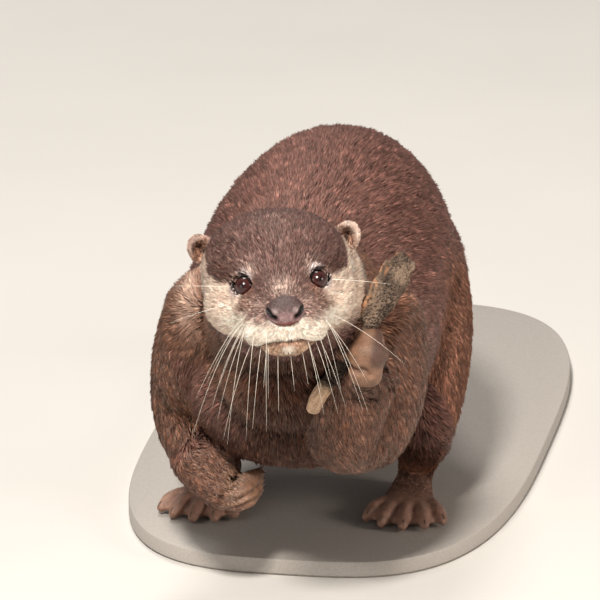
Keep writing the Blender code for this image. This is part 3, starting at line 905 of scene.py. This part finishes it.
def skinTones(mesh, fields, parts, height):
    places, normals, edges = placesOf(mesh), normalsOf(mesh), edgesOf(mesh)
    local = inHead(places)
    colour = bodyTones(local, normals, parts, edges)
    onHead = shareOf(("head", "lower_jaw"), parts, edges, 6)
    colour = mixed(colour, chinTones(local, height, headTones(local, height)), onHead)
    colour = earTones(local, normals, parts, eyeTones(local, colour))
    bare = fields[:, 4] * (1 - onHead) * ~np.isin(parts, numbersOf("ear_left", "ear_right"))
    return pawTones(places, normals, parts, bare, colour)


skinMesh, coat, partOf, lipHeight = makeSkin()
skinTone = skinTones(skinMesh, coat, partOf, lipHeight)
# the skin is painted dark between dark hairs, as painted shade deep in the coat, and has its full tone
# where it is bare or its coat pale
shown = np.maximum(smoothStep(0.0, 0.4, coat[:, 4]), smoothStep(0.2, 0.55, skinTone.mean(1)) * 0.8)
paint(skinMesh, skinTone * (0.42 + 0.58 * shown)[:, None])
skinMesh.materials.append(grainMaterial("furredSkin", 0.8 * mm, (0.82, 1.18), 0.45 * mm, Roughness=0.45))
skin = showMesh("skin", skinMesh, flesh)
print("skin", len(skinMesh.polygons), "faces")


# the coat: thin solid tufts that lie over the skin

tuftShape = {
    "sunk": 0.4 * mm,  # how far a root is under the skin
    "middle": 0.42,  # where along it a tuft is widest
    "rise": (0.6, 1.0),  # height of its middle and of its tip, in depths of the coat
    "stray": 7.0,  # degrees that tufts differ in direction
    "swirl": 10.0,  # degrees that whole patches differ
    "frizz": 0.045,  # how far a tip strays, in lengths
    "shade": (0.22, 0.85, 0.85, 1.5),  # colour at the root, the middle and the tip: painted shade deep in the coat, painted light at the tip
    "paleShade": (0.55, 0.97, 0.97, 1.15),  # the same where the coat is pale
    "glint": 0.10,  # how strong the painted glint on the tips of dark hairs is, a grey highlight
    "evenness": (0.5, 2.5),  # how much dark and pale tufts are lit like the skin below them
    "patch": 0.0015,  # half of a tuft's patch on the colour map
    "most": 49500,  # tufts in one piece
    "glossy": ("coat_forelegs",),
    "peppered": 0.2,  # share of the clumps in pale fur that hold darker hairs
}
clumpShape = {
    "size": 5,  # tufts in a clump
    "pull": 0.45,  # how far tips lean to the tip of the one that leads
    "reach": 3 * mm,
    "tone": (0.31, 0.2),  # how much clumps differ, and tufts in a clump
}
# the share of the tufts that are grizzled, by kind of part; on the forelegs it is partly painted sheen
frostOf = {"forearm": 0.1, "upper_arm": 0.1, "neck": 0.07, "chest": 0.05, "head": 0.1, "hand": 0.2}
tuftFaces = np.array([(0, 2, 1), (1, 2, 3), (0, 1, 3), (0, 3, 2)])
tuftPatch = np.array([(0, -1), (-1, 0), (1, 0), (0, 1)])
coatPieces = {
    "coat_head": ("head", "lower_jaw", "ear_left", "ear_right"),
    "coat_neck": ("neck",),
    "coat_chest": ("chest",),
    "coat_belly": ("belly",),
    "coat_rump": ("rump",),
    "coat_tail": ("tail_base", "tail_middle", "tail_tip"),
    "coat_forelegs": ("upper_arm_left", "upper_arm_right", "forearm_left", "forearm_right",
                      "hand_left", "hand_right"),
    "coat_hindlegs": ("thigh_left", "thigh_right", "shank_left", "shank_right", "foot_left",
                      "foot_right"),
}


def unwrap(piece):
    # an unwrap of the skin's own shape, for the colour map of the skin and of the tufts on it
    piece.data.uv_layers.new(name="OFBake")
    bpy.context.view_layer.objects.active = piece
    piece.select_set(True)
    bpy.ops.object.mode_set(mode="EDIT")
    bpy.ops.mesh.select_all(action="SELECT")
    bpy.ops.uv.smart_project(angle_limit=radians(66), island_margin=0.0015)
    bpy.ops.object.mode_set(mode="OBJECT")
    piece.select_set(False)


def rootsOn(mesh, fields, tone, parts):
    # places for the tufts, spread over the skin by the number that each spot needs
    mesh.calc_loop_triangles()
    corners = readings(mesh.loop_triangles, "vertices", 3, np.int32)
    loops = readings(mesh.loop_triangles, "loops", 3, np.int32)
    maps = readings(mesh.uv_layers["OFBake"].uv, "vector", 2)[loops]
    places = placesOf(mesh)[corners]
    area = np.linalg.norm(np.cross(places[:, 1] - places[:, 0], places[:, 2] - places[:, 0]), axis=1) / 2
    wanted = area / mm ** 2 * (fields[:, 3] * (1 - fields[:, 4]))[corners].mean(1)
    total = int(wanted.sum())
    steps = (np.arange(total) + draw.random(total)) / total
    face = np.minimum(np.searchsorted(np.cumsum(wanted) / wanted.sum(), steps), len(corners) - 1)
    a, b = draw.random((2, total))
    root = np.sqrt(a)
    share = np.column_stack((1 - root, root * (1 - b), root * b))[..., None]
    values = np.column_stack((fields, normalsOf(mesh), tone))[corners[face]]
    owner = parts[corners[face][:, 0]]
    return (places[face] * share).sum(1), (values * share).sum(1), owner, (maps[face] * share).sum(1)


def onSkin(tree, places, most):
    # the nearest places on the skin, no further away than most, and the way out of it there
    found = [tree.find_nearest(Vector(p)) for p in places]
    moved = np.array([f[0] for f in found]) - places
    share = np.minimum(1, most / np.maximum(np.linalg.norm(moved, axis=1, keepdims=True), 1e-9))
    return places + moved * share, np.array([f[1] for f in found])


def leadersOf(places):
    # for each tuft, the tuft that leads its clump, and how far away it is
    leaders = np.nonzero(draw.random(len(places)) < 1 / clumpShape["size"])[0]
    tree = KDTree(len(leaders))
    for number in leaders:
        tree.insert(places[number], int(number))
    tree.balance()
    found = [tree.find(p)[1:] for p in places]
    return np.array([f[0] for f in found]), np.array([f[1] for f in found])


def turned(ways, normals, degrees):
    angle = np.radians(degrees)[:, None]
    return ways * np.cos(angle) + np.cross(normals, ways) * np.sin(angle)


def frostAt(places, owner):
    # the share of grizzled tufts; more of them on the brows, the bridge and the whisker pads, and on the
    # crown, where they are partly a painted rim of light
    byPart = np.array([frostOf.get(kindAndSide(name)[0], 0.03) for name in flesh])
    x, y, z = inHead(places).T
    brows = bell(abs(x) - 1.55, 0.35) * bell(z - 0.85, 0.3) * (y < 0.3)
    bridge = bell(x, 0.6) * bell(z - 0.2, 0.35) * (y < -0.5)
    pads = smoothStep(0.1, -0.4, z) * smoothStep(-1.6, -2.4, y) * (z > -1.3)
    crown = smoothStep(2.3, 3.0, z) * smoothStep(4.5, 2.5, y)
    return np.clip(byPart[owner] + 0.4 * brows + 0.5 * bridge + 0.3 * pads + 0.3 * crown, 0, 0.7)


def tuftPlaces(mesh, places, values):
    # root, both sides of the middle, and tip of each tuft
    depth, length, width = values[:, :1], values[:, 1:2], values[:, 2:3]
    lie, normal = values[:, 5:8], unit(values[:, 8:11])
    total = len(places)
    swirl = ripples(places, 0.018, 3) * tuftShape["swirl"]
    lie = turned(laidFlat(lie, normal), normal, swirl + draw.normal(0, tuftShape["stray"], total))
    length = length * draw.uniform(0.7, 1.15, (total, 1))
    width = width * draw.uniform(0.75, 1.2, (total, 1))
    low, high = tuftShape["rise"]
    height = depth * draw.uniform(0.6, 1.2, (total, 1)) * (1 + 0.35 * ripples(places, 0.0035, 12))[:, None]
    tree = treeOf(mesh)
    middle, middleOut = onSkin(tree, places + lie * length * tuftShape["middle"], length * 0.3)
    tip, tipOut = onSkin(tree, places + lie * length, length * 0.5)
    middle = middle + middleOut * height * low
    tip = tip + tipOut * height * high + draw.normal(0, tuftShape["frizz"], (total, 3)) * length
    # neighbouring tufts lean together in clumps
    leader, gap = leadersOf(places)
    pull = clumpShape["pull"] * draw.uniform(0.5, 1, (total, 1)) * (gap < clumpShape["reach"])[:, None]
    tip = tip + (tip[leader] - tip) * pull
    middle = middle + (middle[leader] - middle) * pull * 0.3
    side = unit(np.cross(lie, normal)) * width / 2
    return np.stack((places - normal * tuftShape["sunk"], middle - side, middle + side, tip), 1), leader


def tuftTones(places, colour, owner, leader):
    # the skin's own markings, varied by patch, clump and tuft, with painted shade at the root, painted
    # light at the tip and a painted glint on the tips of dark hairs
    total = len(places)
    patches = 1 + 0.16 * ripples(places, 0.008, 4) + 0.15 * ripples(places, 0.0026, 6)
    clumpTone, ownTone = clumpShape["tone"]
    bright = np.exp(draw.normal(0, clumpTone, total)[leader] + draw.normal(0, ownTone, total)) * patches
    frosted = np.clip(frostAt(places, owner) * 1.3 * draw.random(total) ** 1.5, 0, 0.8)
    colour = toned(colour, "frostAndGlint", frosted * (colour.mean(1) < 0.35))
    pale = smoothStep(0.2, 0.55, colour.mean(1))
    peppered = (draw.random(total)[leader] < tuftShape["peppered"]) * draw.uniform(0.1, 0.6, total)
    colour = toned(colour, "pepper", peppered * pale)
    shades = mixed(tuftShape["shade"], tuftShape["paleShade"], pale) * (bright ** (1 - 0.4 * pale))[:, None]
    # painted glint: a grey highlight on the tips of dark hairs
    glint = np.array((0, 0.3, 0.3, 1.0))[:, None] * tones["frostAndGlint"] * tuftShape["glint"]
    share = (1 - pale) * draw.random(total) * np.clip(colour.mean(1) / 0.08, 0, 1.2)
    return colour[:, None, :] * shades[:, :, None] + glint * share[:, None, None], pale


def makeCoat(mesh, fields, tone, parts):
    places, values, owner, maps = rootsOn(mesh, fields, tone, parts)
    verts, leader = tuftPlaces(mesh, places, values)
    colours, pale = tuftTones(places, values[:, 11:14], owner, leader)
    ways = unit(values[:, 8:11]) * mixed(*tuftShape["evenness"], pale)
    for name, names in coatPieces.items():
        mine = np.nonzero(np.isin(owner, numbersOf(*names)))[0]
        mine = mine[np.argsort(places[mine, 1], kind="stable")]
        runs = np.array_split(mine, -(-len(mine) // tuftShape["most"]))
        for number, run in enumerate(runs):
            label = name if len(runs) == 1 else f"{name}_{number + 1}"
            hair = glossyHair if name in tuftShape["glossy"] else plainHair
            showTufts(label, hair, verts[run], colours[run], maps[run], ways[run])
    print("coat", len(places), "tufts")


def showTufts(name, hair, verts, colours, maps, ways):
    total = len(verts)
    faces = (tuftFaces[None] + (np.arange(total) * 4)[:, None, None]).reshape(-1, 3)
    mesh = meshFrom(name, verts.reshape(-1, 3), faces)
    # each tuft is lit partly as the skin below it is
    lit = unit(normalsOf(mesh) + np.repeat(ways, 4, axis=0))
    mesh.normals_split_custom_set_from_vertices(lit)
    paint(mesh, np.clip(colours.reshape(-1, 3), 0, 0.9))
    spots = maps[:, None, :] + tuftPatch[None] * tuftShape["patch"]
    layer = mesh.uv_layers.new(name="OFBake")
    layer.uv.foreach_set("vector", spots.reshape(-1, 2)[faces.ravel()].astype(np.float32).ravel())
    mesh.materials.append(hair)
    showMesh(name, mesh)


unwrap(skin)
hairGloss = {"hair": (0.4, 0.1), "glossyHair": (0.3, 0.4)}  # roughness, and how strong its shine is
plainHair, glossyHair = (
    grainMaterial(
        name, 1.5 * mm, (0.85, 1.15), 0.1 * mm,
        **{"Roughness": rough, "Specular IOR Level": shine},
    )
    for name, (rough, shine) in hairGloss.items()
)
makeCoat(skinMesh, coat, skinTone, partOf)


# nose, eyes, whiskers and claws

def ringQuads(rows, sides):
    # a tube's points row by row, the points beside them, and the faces between the rows
    here = np.arange(rows * sides).reshape(rows, sides)
    after = np.roll(here, -1, axis=1)
    quads = np.stack((here[:-1], after[:-1], after[1:], here[1:]), -1).reshape(-1, 4)
    return here, after, [tuple(f) for f in quads]


def ballGrid(rings, sides):
    # directions over a ball round +z, and the faces between them
    tilt = np.linspace(0, pi, rings + 1)[1:-1]
    turn = np.arange(sides) * 2 * pi / sides
    tilt, turn = np.meshgrid(tilt, turn, indexing="ij")
    ways = np.stack((np.sin(tilt) * np.cos(turn), np.sin(tilt) * np.sin(turn), np.cos(tilt)), -1)
    ways = np.concatenate((ways.reshape(-1, 3), ((0, 0, 1), (0, 0, -1))))
    top, bottom = len(ways) - 2, len(ways) - 1
    here, after, quads = ringQuads(rings - 1, sides)
    faces = [(a, d, c, b) for a, b, c, d in quads]
    faces += [(top, here[0, k], after[0, k]) for k in range(sides)]
    faces += [(bottom, after[-1, k], here[-1, k]) for k in range(sides)]
    return ways, faces


def meshOf(name, places, faces):
    mesh = bpy.data.meshes.new(name)
    mesh.from_pydata([tuple(p) for p in places], [], [tuple(int(i) for i in f) for f in faces])
    mesh.update()
    mesh.shade_smooth()
    return mesh


eyeLook = {
    "pupil": 12.0,  # degrees from the middle of the cornea
    "iris": 50.0,
    "cornea": 0.05,  # how far the cornea bulges, in radii
    "rays": (23, 41),  # how many fine and finer rays the iris has
}
eyeballTones = toneTable({"pupil": (26, 9, 9), "iris": (66, 31, 28), "edge": (14, 8, 8)})


def makeEye(node, side):
    look, across, rise = (headAxes @ way for way in eyeAxes(side))
    low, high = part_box(node)
    radius = (high - low).length / 2 / 3 ** 0.5
    ways, faces = ballGrid(72, 96)
    angle = np.degrees(np.arccos(np.clip(ways[:, 2], -1, 1)))
    reach = radius * (1 + eyeLook["cornea"] * smoothStep(44, 0, angle))
    places = (ways[:, :1] * across + ways[:, 1:2] * rise + ways[:, 2:] * look) * reach[:, None]
    mesh = meshOf(node + "_ball", places + middleOf(node), faces)
    turn = np.arctan2(ways[:, 1], ways[:, 0])
    many, more = eyeLook["rays"]
    rays = 0.5 + 0.25 * np.sin(turn * many) + 0.25 * np.sin(turn * more + 1)
    iris = eyeballTones["iris"] * (0.5 + 0.7 * rays * smoothStep(18, 40, angle))[:, None]
    tone = mixed(eyeballTones["pupil"], iris, smoothStep(-6, 6, angle - eyeLook["pupil"]))
    tone = mixed(tone, eyeballTones["edge"], smoothStep(-5, 3, angle - eyeLook["iris"]))
    paint(mesh, tone)
    mesh.materials.append(eyeMaterial)
    showMesh(node + "_ball", mesh, [node])


noseTones = toneTable({
    "top": (74, 56, 54), "low": (118, 90, 90), "edge": (134, 56, 46), "pale": (176, 158, 154),
    "nostril": (10, 6, 6),
})


def makeNose():
    ways, faces = ballGrid(110, 150)
    ways = ways[:, (0, 2, 1)] * (1, -1, 1)  # the pole points ahead
    square = np.where(ways[:, 2] < 0, -abs(ways[:, 2]) ** 0.55, ways[:, 2])
    x, y, z = (np.column_stack((ways[:, :2], square)) * noseShape["radii"]).T
    z = np.where(z < 0, z * noseShape["below"] / noseShape["radii"][2], z)
    x = x * noseWidth(z) / noseShape["radii"][0]
    # the nostrils with a wing round each, and the groove between them
    gap = distanceToPath(np.column_stack((abs(x), z)), noseShape["nostril"])
    facing = smoothStep(0.2, -0.05, y)
    wide, narrowEnd = noseShape["nostrilWide"]
    hole = bell(gap, narrowEnd + (wide - narrowEnd) * smoothStep(-0.2, 0.08, z)) * facing
    wing = bell(gap - 0.2, 0.09) * facing
    groove = bell(x, 0.045) * smoothStep(-0.1, -0.4, z) * facing
    y = y + noseShape["nostrilDeep"] * hole - noseShape["wing"] * wing + 0.05 * groove
    y = y - 0.05 * bell(x, 0.45) * smoothStep(0.4, -0.3, z) - 0.16 * smoothStep(0.1, -0.5, z)
    local = np.column_stack((x, y, z))
    grit = ripples(local, 0.08, 5) * 0.018 + ripples(local, 0.035, 6) * 0.01
    local = local + ways * grit[:, None]
    mesh = meshOf("nose_leather", fromHead(local + headShape["nose"]), faces)
    blotch = ripples(local, 0.2, 8)
    tone = mixed(noseTones["low"], noseTones["top"], smoothStep(0.0, 0.4, z + 0.3 * blotch))
    # pale spots on the upper corners of the leather are a painted highlight
    tone = mixed(tone, noseTones["pale"], 0.7 * bell(abs(x) - 0.62, 0.2) * bell(z - 0.22, 0.13))
    tone = mixed(tone, noseTones["edge"], smoothStep(-0.32, -0.46, z + 0.04 * blotch) * 0.9)
    tone = tone * (1 + 0.25 * blotch + 0.4 * ripples(local, 0.06, 9))[:, None]
    # the nostrils are painted near black, as painted shade in their holes
    paint(mesh, mixed(tone, noseTones["nostril"], np.clip(hole * 1.3, 0, 1)))
    mesh.materials.append(grainMaterial("noseSkin", 0.8 * mm, (0.7, 1.3), 0.6 * mm, Roughness=0.36))
    showMesh("nose_leather", mesh, ["nose"])


def hairTube(path, radii, sides=5):
    # a closed tapered tube along a path
    run = unit(np.gradient(path, axis=0))
    first = unit(np.cross(run, (0.3, 0.2, 1.0)))
    second = np.cross(run, first)
    turn = np.arange(sides)[:, None] * 2 * pi / sides
    ring = first[:, None] * np.cos(turn) + second[:, None] * np.sin(turn)
    places = (path[:, None] + ring * radii[:, None, None]).reshape(-1, 3)
    here, _, faces = ringQuads(len(path), sides)
    return places, faces + [tuple(here[0][::-1]), tuple(here[-1])]


def joinedTubes(name, tubes):
    places, faces, count = [], [], 0
    for tubePlaces, tubeFaces in tubes:
        places.append(tubePlaces)
        faces += [tuple(i + count for i in f) for f in tubeFaces]
        count += len(tubePlaces)
    return meshOf(name, np.concatenate(places), faces)


whiskerShape = {
    "radius": 0.15 * mm,
    "steps": 16,
    "rows": 3,
    "columns": 6,
    "kept": 0.66,  # share of them that are there
    "length": (2.6, 4.8),  # cm
    "tone": (0.86, 0.80, 0.70),
}


def whiskerPath(root, way, length, droop):
    t = np.linspace(0, 1, whiskerShape["steps"])[:, None]
    drop = np.array((0, 0, -1.0)) * droop * length * t ** 1.8
    return fromHead(root + unit(np.array(way, float)) * t * length + drop)


def makeWhiskers(tree):
    tubes = []
    taper = whiskerShape["radius"] * (1 - 0.8 * np.linspace(0, 1, whiskerShape["steps"]))
    shortest, longest = whiskerShape["length"]

    def grow(x, y, z, way, length, droop):
        # one whisker from the skin near this place, in cm in the head's axes
        spot, out, _, _ = tree.find_nearest(Vector(fromHead((x, y, z))))
        root = inHead(np.array(spot - out * 0.6 * mm))
        tubes.append(hairTube(whiskerPath(root, way, length, droop), taper))

    for side in (1, -1):
        for row in range(whiskerShape["rows"]):
            for column in range(whiskerShape["columns"]):
                out = (column + draw.uniform(-0.4, 0.4)) / (whiskerShape["columns"] - 1)
                x = side * (0.95 + 1.35 * out)
                y = -3.9 + 1.9 * out + 0.12 * row
                z = -1.35 - 0.2 * row - 0.1 * out + draw.normal(0, 0.05)
                way = (side * (0.12 + 0.75 * out + draw.normal(0, 0.12)), -0.6 + 0.45 * out,
                       -0.8 + 0.25 * out + 0.12 * (1 - row) + draw.normal(0, 0.1))
                length = draw.uniform(shortest, longest) * (0.8 + 0.2 * out)
                if draw.random() < whiskerShape["kept"]:
                    grow(x, y, z, way, length, draw.uniform(0.2, 0.9))
        grow(side * 2.6, -0.9, 0.05, (side, -0.2, 0.1 - 0.15 * side), 3.4, 0.06)
    grow(-2.9, -1.2, -0.75, (-1, -0.1, -0.1), 3.4, 0.10)
    for k in range(5):  # on the chin
        x = (k - 2) * 0.5 + draw.normal(0, 0.12)
        grow(x, -3.2, -2.7, (x * 0.2, -0.25, -1), draw.uniform(1.6, 2.8), 0.2)
    mesh = joinedTubes("whiskers", tubes)
    hair = grainMaterial("whiskerHair", 4 * mm, (0.85, 1.05), tone=whiskerShape["tone"], Roughness=0.3)
    mesh.materials.append(hair)
    showMesh("whiskers", mesh)
    print("whiskers", len(tubes))


eyeMaterial = grainMaterial("eyeGloss", 0.3 * mm, (0.94, 1.06), Roughness=0.2)
makeEye("eye_left", 1)
makeEye("eye_right", -1)
makeNose()
print("eyes and nose ready")
skinTree = treeOf(skinMesh)
makeWhiskers(skinTree)


clawShape = {
    "length": 2.4 * mm,
    "root": 1.2 * mm,  # how much more of it is inside the toe
    "radius": 0.62 * mm,
    "turned": {"foot_left": 3, "foot_right": -5},  # degrees that the feet point outwards
    # the ends of the toes from the middle of the paw's box, in cm, and the way they point
    "foot": tuple(((x, y, 0.1), (x * 0.25, -1.0, -0.5)) for x, y in (
        (-2.2, -3.0), (-1.25, -3.85), (0.0, -4.2), (1.23, -3.95), (2.22, -3.1))),
    "hand_left": tuple(((0.5 - 0.38 * k, -0.6, -1.75), (-0.2, 0.6, -0.6)) for k in range(4)),
    "hand_right": tuple(((1.45, 0.5 + 0.1 * k, 0.15 + 0.28 * k), (0.7, 0.6, 0.3)) for k in range(5)),
}


def makeClaws(tree):
    # one short blunt claw on the end of each toe
    tubes = []
    t = np.linspace(0, 1, 8)
    bend = clawShape["radius"] * np.sqrt(np.clip(1 - t ** 2.2, 0.02, 1))
    for node in ("foot_left", "foot_right", "hand_left", "hand_right"):
        turn = radians(clawShape["turned"].get(node, 0))
        spin = np.array(((cos(turn), -sin(turn), 0), (sin(turn), cos(turn), 0), (0, 0, 1)))
        for place, way in clawShape.get(node, clawShape["foot"]):
            way = unit(spin @ way)
            spot, out, _, _ = tree.find_nearest(Vector(middleOf(node) + spin @ place * cm))
            start = np.array(spot) - way * clawShape["root"] - np.array(out) * 0.2 * mm
            path = start + way * t[:, None] * (clawShape["length"] + clawShape["root"])
            path[:, 2] -= 0.5 * mm * t ** 2
            tubes.append(hairTube(path, bend, 10))
    mesh = joinedTubes("claws", tubes)
    paint(mesh, tones["claw"])
    mesh.materials.append(grainMaterial("clawHorn", 0.8 * mm, (0.8, 1.2), 0.1 * mm, Roughness=0.4))
    showMesh("claws", mesh)
    print("claws", len(tubes))


makeClaws(skinTree)


# the driftwood in its grip

woodShape = {
    "voxel": 0.5 * mm,
    "knobs": 1.3 * mm,  # height of the knobs
    "cracks": 0.5 * mm,  # depth of the long cracks
    "pits": 0.9 * mm,
    "torn": 2.2 * mm,  # how ragged its top is
    "inside": 0.4 * mm,  # how far the whole surface is drawn in, so that the knobs have room
    "topInside": 0.8 * mm,
    "chip": 0.17,  # share of its length that is the pale chip
}
woodTones = toneTable({
    "bark": (116, 97, 82), "shade": (72, 58, 48), "dark": (34, 26, 22), "torn": (206, 172, 142),
    "edge": (196, 140, 100),
})


def alongWood(places):
    # its axis, and for each place the length and the share along it, and how far left in cm
    middle = places.mean(0)
    axis = np.linalg.svd(places - middle, full_matrices=False)[2][0]
    axis = axis * np.sign(axis[2])
    across = unit(np.cross((0, 1, 0), axis))  # to the otter's left
    along = (places - middle) @ axis
    share = (along - along.min()) / (along.max() - along.min())
    left = (places - middle) @ across / cm
    steps = 12
    centres = [left[(share >= k / steps) & (share <= (k + 1) / steps)].mean() for k in range(steps)]
    return axis, along, share, left - np.interp(share, np.linspace(0, 1, steps), centres)


def pitsAt(places, squeezed, share, left, knobs):
    # pits crowd on its lower left side
    crowded = smoothStep(-0.3, 0.7, left + 0.3 * knobs) * smoothStep(0.86, 0.62, share + 0.08 * knobs)
    least = 0.2 - 0.42 * crowded - 0.12 * smoothStep(0.5, 0.3, share)
    specks = 0.35 * ripples(squeezed, 2.2 * mm, 9) + 0.7 * ripples(places, 1.0 * mm, 17)
    specks = specks + 0.5 * ripples(places, 0.6 * mm, 23)
    return smoothStep(least, least + 0.2, specks)


def makeDriftwood():
    mesh = worked(
        nodesMesh(["stick"], 0),
        ("REMESH", {"mode": "VOXEL", "voxel_size": woodShape["voxel"]}),
        ("SMOOTH", {"factor": 0.5, "iterations": 3}),
    )
    mesh.shade_smooth()
    places, normals = placesOf(mesh), normalsOf(mesh)
    axis, along, share, left = alongWood(places)
    squeezed = places - places.mean(0) - along[:, None] * axis * 0.8  # draws marks out along it
    cracks = 1 - abs(ripples(squeezed, 2.0 * mm, 7)) * 2
    knobs = ripples(places, 6 * mm, 8) + 0.5 * ripples(places, 2.6 * mm, 13)
    chip = smoothStep(woodShape["chip"] + 0.03, woodShape["chip"] - 0.03, share + 0.02 * knobs)
    pits = pitsAt(places, squeezed, share, left, knobs) * (1 - 0.85 * chip)
    top = smoothStep(0.86, 0.97, share)
    rise = knobs * woodShape["knobs"] * (0.45 + top)
    rise = rise + cracks * woodShape["cracks"] - pits * woodShape["pits"]
    out = rise * (1 - 0.7 * chip) - woodShape["inside"]
    torn = top * ripples(places - along[:, None] * axis, 3.2 * mm, 14) * woodShape["torn"]
    up = torn - woodShape["topInside"] * top
    setPlaces(mesh, places + normals * out[:, None] + axis * up[:, None])
    shaded = smoothStep(-0.3, 0.6, ripples(places, 9 * mm, 10))
    shaded = np.maximum(shaded, smoothStep(0.55, 0.35, share))
    tone = mixed(woodTones["bark"], woodTones["shade"], shaded)
    fibres = 0.4 * ripples(squeezed, 1.3 * mm, 11) + 0.8 * ripples(places, 0.6 * mm, 19)
    tone = tone * (1 + fibres)[:, None]
    tone = mixed(tone, woodTones["dark"], 0.6 * smoothStep(0.1, -0.8, cracks))
    edge = smoothStep(-0.35, -0.7, left) * smoothStep(0.5, 0.6, share) * smoothStep(-0.3, 0.1, knobs)
    tone = mixed(tone, woodTones["edge"], 0.7 * edge)
    fresh = woodTones["torn"] * (1 + 0.3 * ripples(squeezed, 1.6 * mm, 27))[:, None]
    tone = mixed(tone, fresh, 0.85 * chip)
    stain = chip * smoothStep(0.15, 0.5, ripples(squeezed, 3 * mm, 28))
    tone = mixed(tone, woodTones["shade"], 0.7 * stain)
    paint(mesh, mixed(tone, woodTones["dark"], 0.8 * pits))
    mesh.materials.append(grainMaterial("driftwood", 0.7 * mm, (0.75, 1.25), 0.5 * mm, Roughness=0.85))
    showMesh("driftwood", mesh, ["stick"])
    print("driftwood", len(mesh.polygons), "faces")


makeDriftwood()


# the stand

standShape = {
    "bevel": 1.5 * mm,
    "sides": 192,
    "power": 3.2,  # how square its outline is; 2 is an oval
    "tone": (0.36, 0.33, 0.30),
}


def makeStand():
    low, high = (np.array(corner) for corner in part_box("stand_base"))
    middle, half = (low + high) / 2, (high - low) / 2
    sides, bevel = standShape["sides"], standShape["bevel"]
    turn = np.arange(sides) * 2 * pi / sides
    ring = np.column_stack((np.cos(turn), np.sin(turn)))
    outline = np.sign(ring) * abs(ring) ** (2 / standShape["power"])
    # how far in from its edge each row is, and how high
    rows = (
        (bevel, low[2]), (0, low[2] + bevel), (0, high[2] - bevel),
        (bevel * 0.3, high[2] - bevel * 0.3), (bevel, high[2]),
    )
    places = [
        np.column_stack((outline * (half[:2] - inset) + middle[:2], np.full(sides, z)))
        for inset, z in rows
    ]
    here, _, faces = ringQuads(len(rows), sides)
    faces += [tuple(here[0][::-1]), tuple(here[-1])]
    mesh = meshOf("stand", np.concatenate(places), faces)
    mesh.set_sharp_from_angle(angle=radians(35))
    mesh.materials.append(grainMaterial(
        "standPaint", 1.2 * mm, (0.88, 1.08), 0.1 * mm, tone=standShape["tone"], detail=5, Roughness=0.55,
    ))
    showMesh("stand", mesh, ["stand_base"])
    print("stand", len(mesh.polygons), "faces")


makeStand()


# floor, lights and camera

floorLook = {"size": 12, "tone": (0.58, 0.56, 0.53)}  # m from its middle to each edge


def makeFloor():
    form = bmesh.new()
    bmesh.ops.create_grid(form, x_segments=2, y_segments=2, size=floorLook["size"])
    mesh = bpy.data.meshes.new("floor")
    form.to_mesh(mesh)
    form.free()
    floor = placed("floor", mesh)
    floor.location.z = cadBox[0].z
    mesh.materials.append(
        grainMaterial("paleFloor", 0.4, (0.97, 1.03), tone=floorLook["tone"], Roughness=0.9))


lamps = {
    # azimuth and elevation in degrees, distance and size in m, power in W, colour
    "key": (-2, 52, 2.2, 0.32, 70, (1.0, 0.95, 0.88)),
    "fill": (-38, 10, 2.4, 1.4, 12, (1.0, 0.93, 0.86)),
    "side": (80, 16, 2.4, 0.8, 24, (1.0, 0.88, 0.78)),
    "back": (-160, 56, 2.4, 0.7, 30, (1.0, 0.97, 0.93)),
}
roomLight = {"Color": (1.0, 0.97, 0.94, 1), "Strength": 0.27}


def onSphere(azimuth, elevation, distance):
    a, e = radians(azimuth), radians(elevation)
    return Vector((sin(a) * cos(e), -cos(a) * cos(e), sin(e))) * distance


def makeLamps():
    target = Vector(middleOf("chest"))
    for name, (azimuth, elevation, distance, size, power, colour) in lamps.items():
        lamp = bpy.data.lights.new(name, "AREA")
        lamp.shape = "DISK"
        lamp.size = size
        lamp.energy = power
        lamp.color = colour
        holder = placed(name, lamp)
        away = onSphere(azimuth, elevation, distance)
        holder.location = target + away
        holder.rotation_euler = away.to_track_quat("Z", "Y").to_euler()
    world = bpy.data.worlds.new("studio")
    world.use_nodes = True
    for key, value in roomLight.items():
        world.node_tree.nodes["Background"].inputs[key].default_value = value
    scene.world = world


cameraView = {
    "azimuth": 10.0,  # degrees to the otter's left of its front
    "elevation": 18.0,
    "distance": 4.23,  # m
    "wide": 0.3458,  # m across the view at that distance
    "standing": (0.006, -0.135),  # m from the middle of the stand to the standing point
    "aim": (-0.01522, 0.11441),  # m across and up from there
    "sensor": 36,  # mm
}


def makeCamera():
    low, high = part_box("stand_base")
    x, y = cameraView["standing"]
    standing = Vector(((low.x + high.x) / 2 + x, (low.y + high.y) / 2 + y, high.z))
    back = onSphere(cameraView["azimuth"], cameraView["elevation"], 1)
    turn = back.to_track_quat("Z", "Y")
    across, up = turn @ Vector((1, 0, 0)), turn @ Vector((0, 1, 0))
    aim = standing + across * cameraView["aim"][0] + up * cameraView["aim"][1]
    camera = bpy.data.cameras.new("camera")
    camera.sensor_width = cameraView["sensor"]
    camera.lens = cameraView["sensor"] * cameraView["distance"] / cameraView["wide"]
    camera.clip_end = 60
    holder = placed("camera", camera)
    holder.location = aim + back * cameraView["distance"]
    holder.rotation_euler = turn.to_euler()
    scene.camera = holder


makeFloor()
makeLamps()
makeCamera()
scene.view_settings.view_transform = "Standard"
print("stage ready")
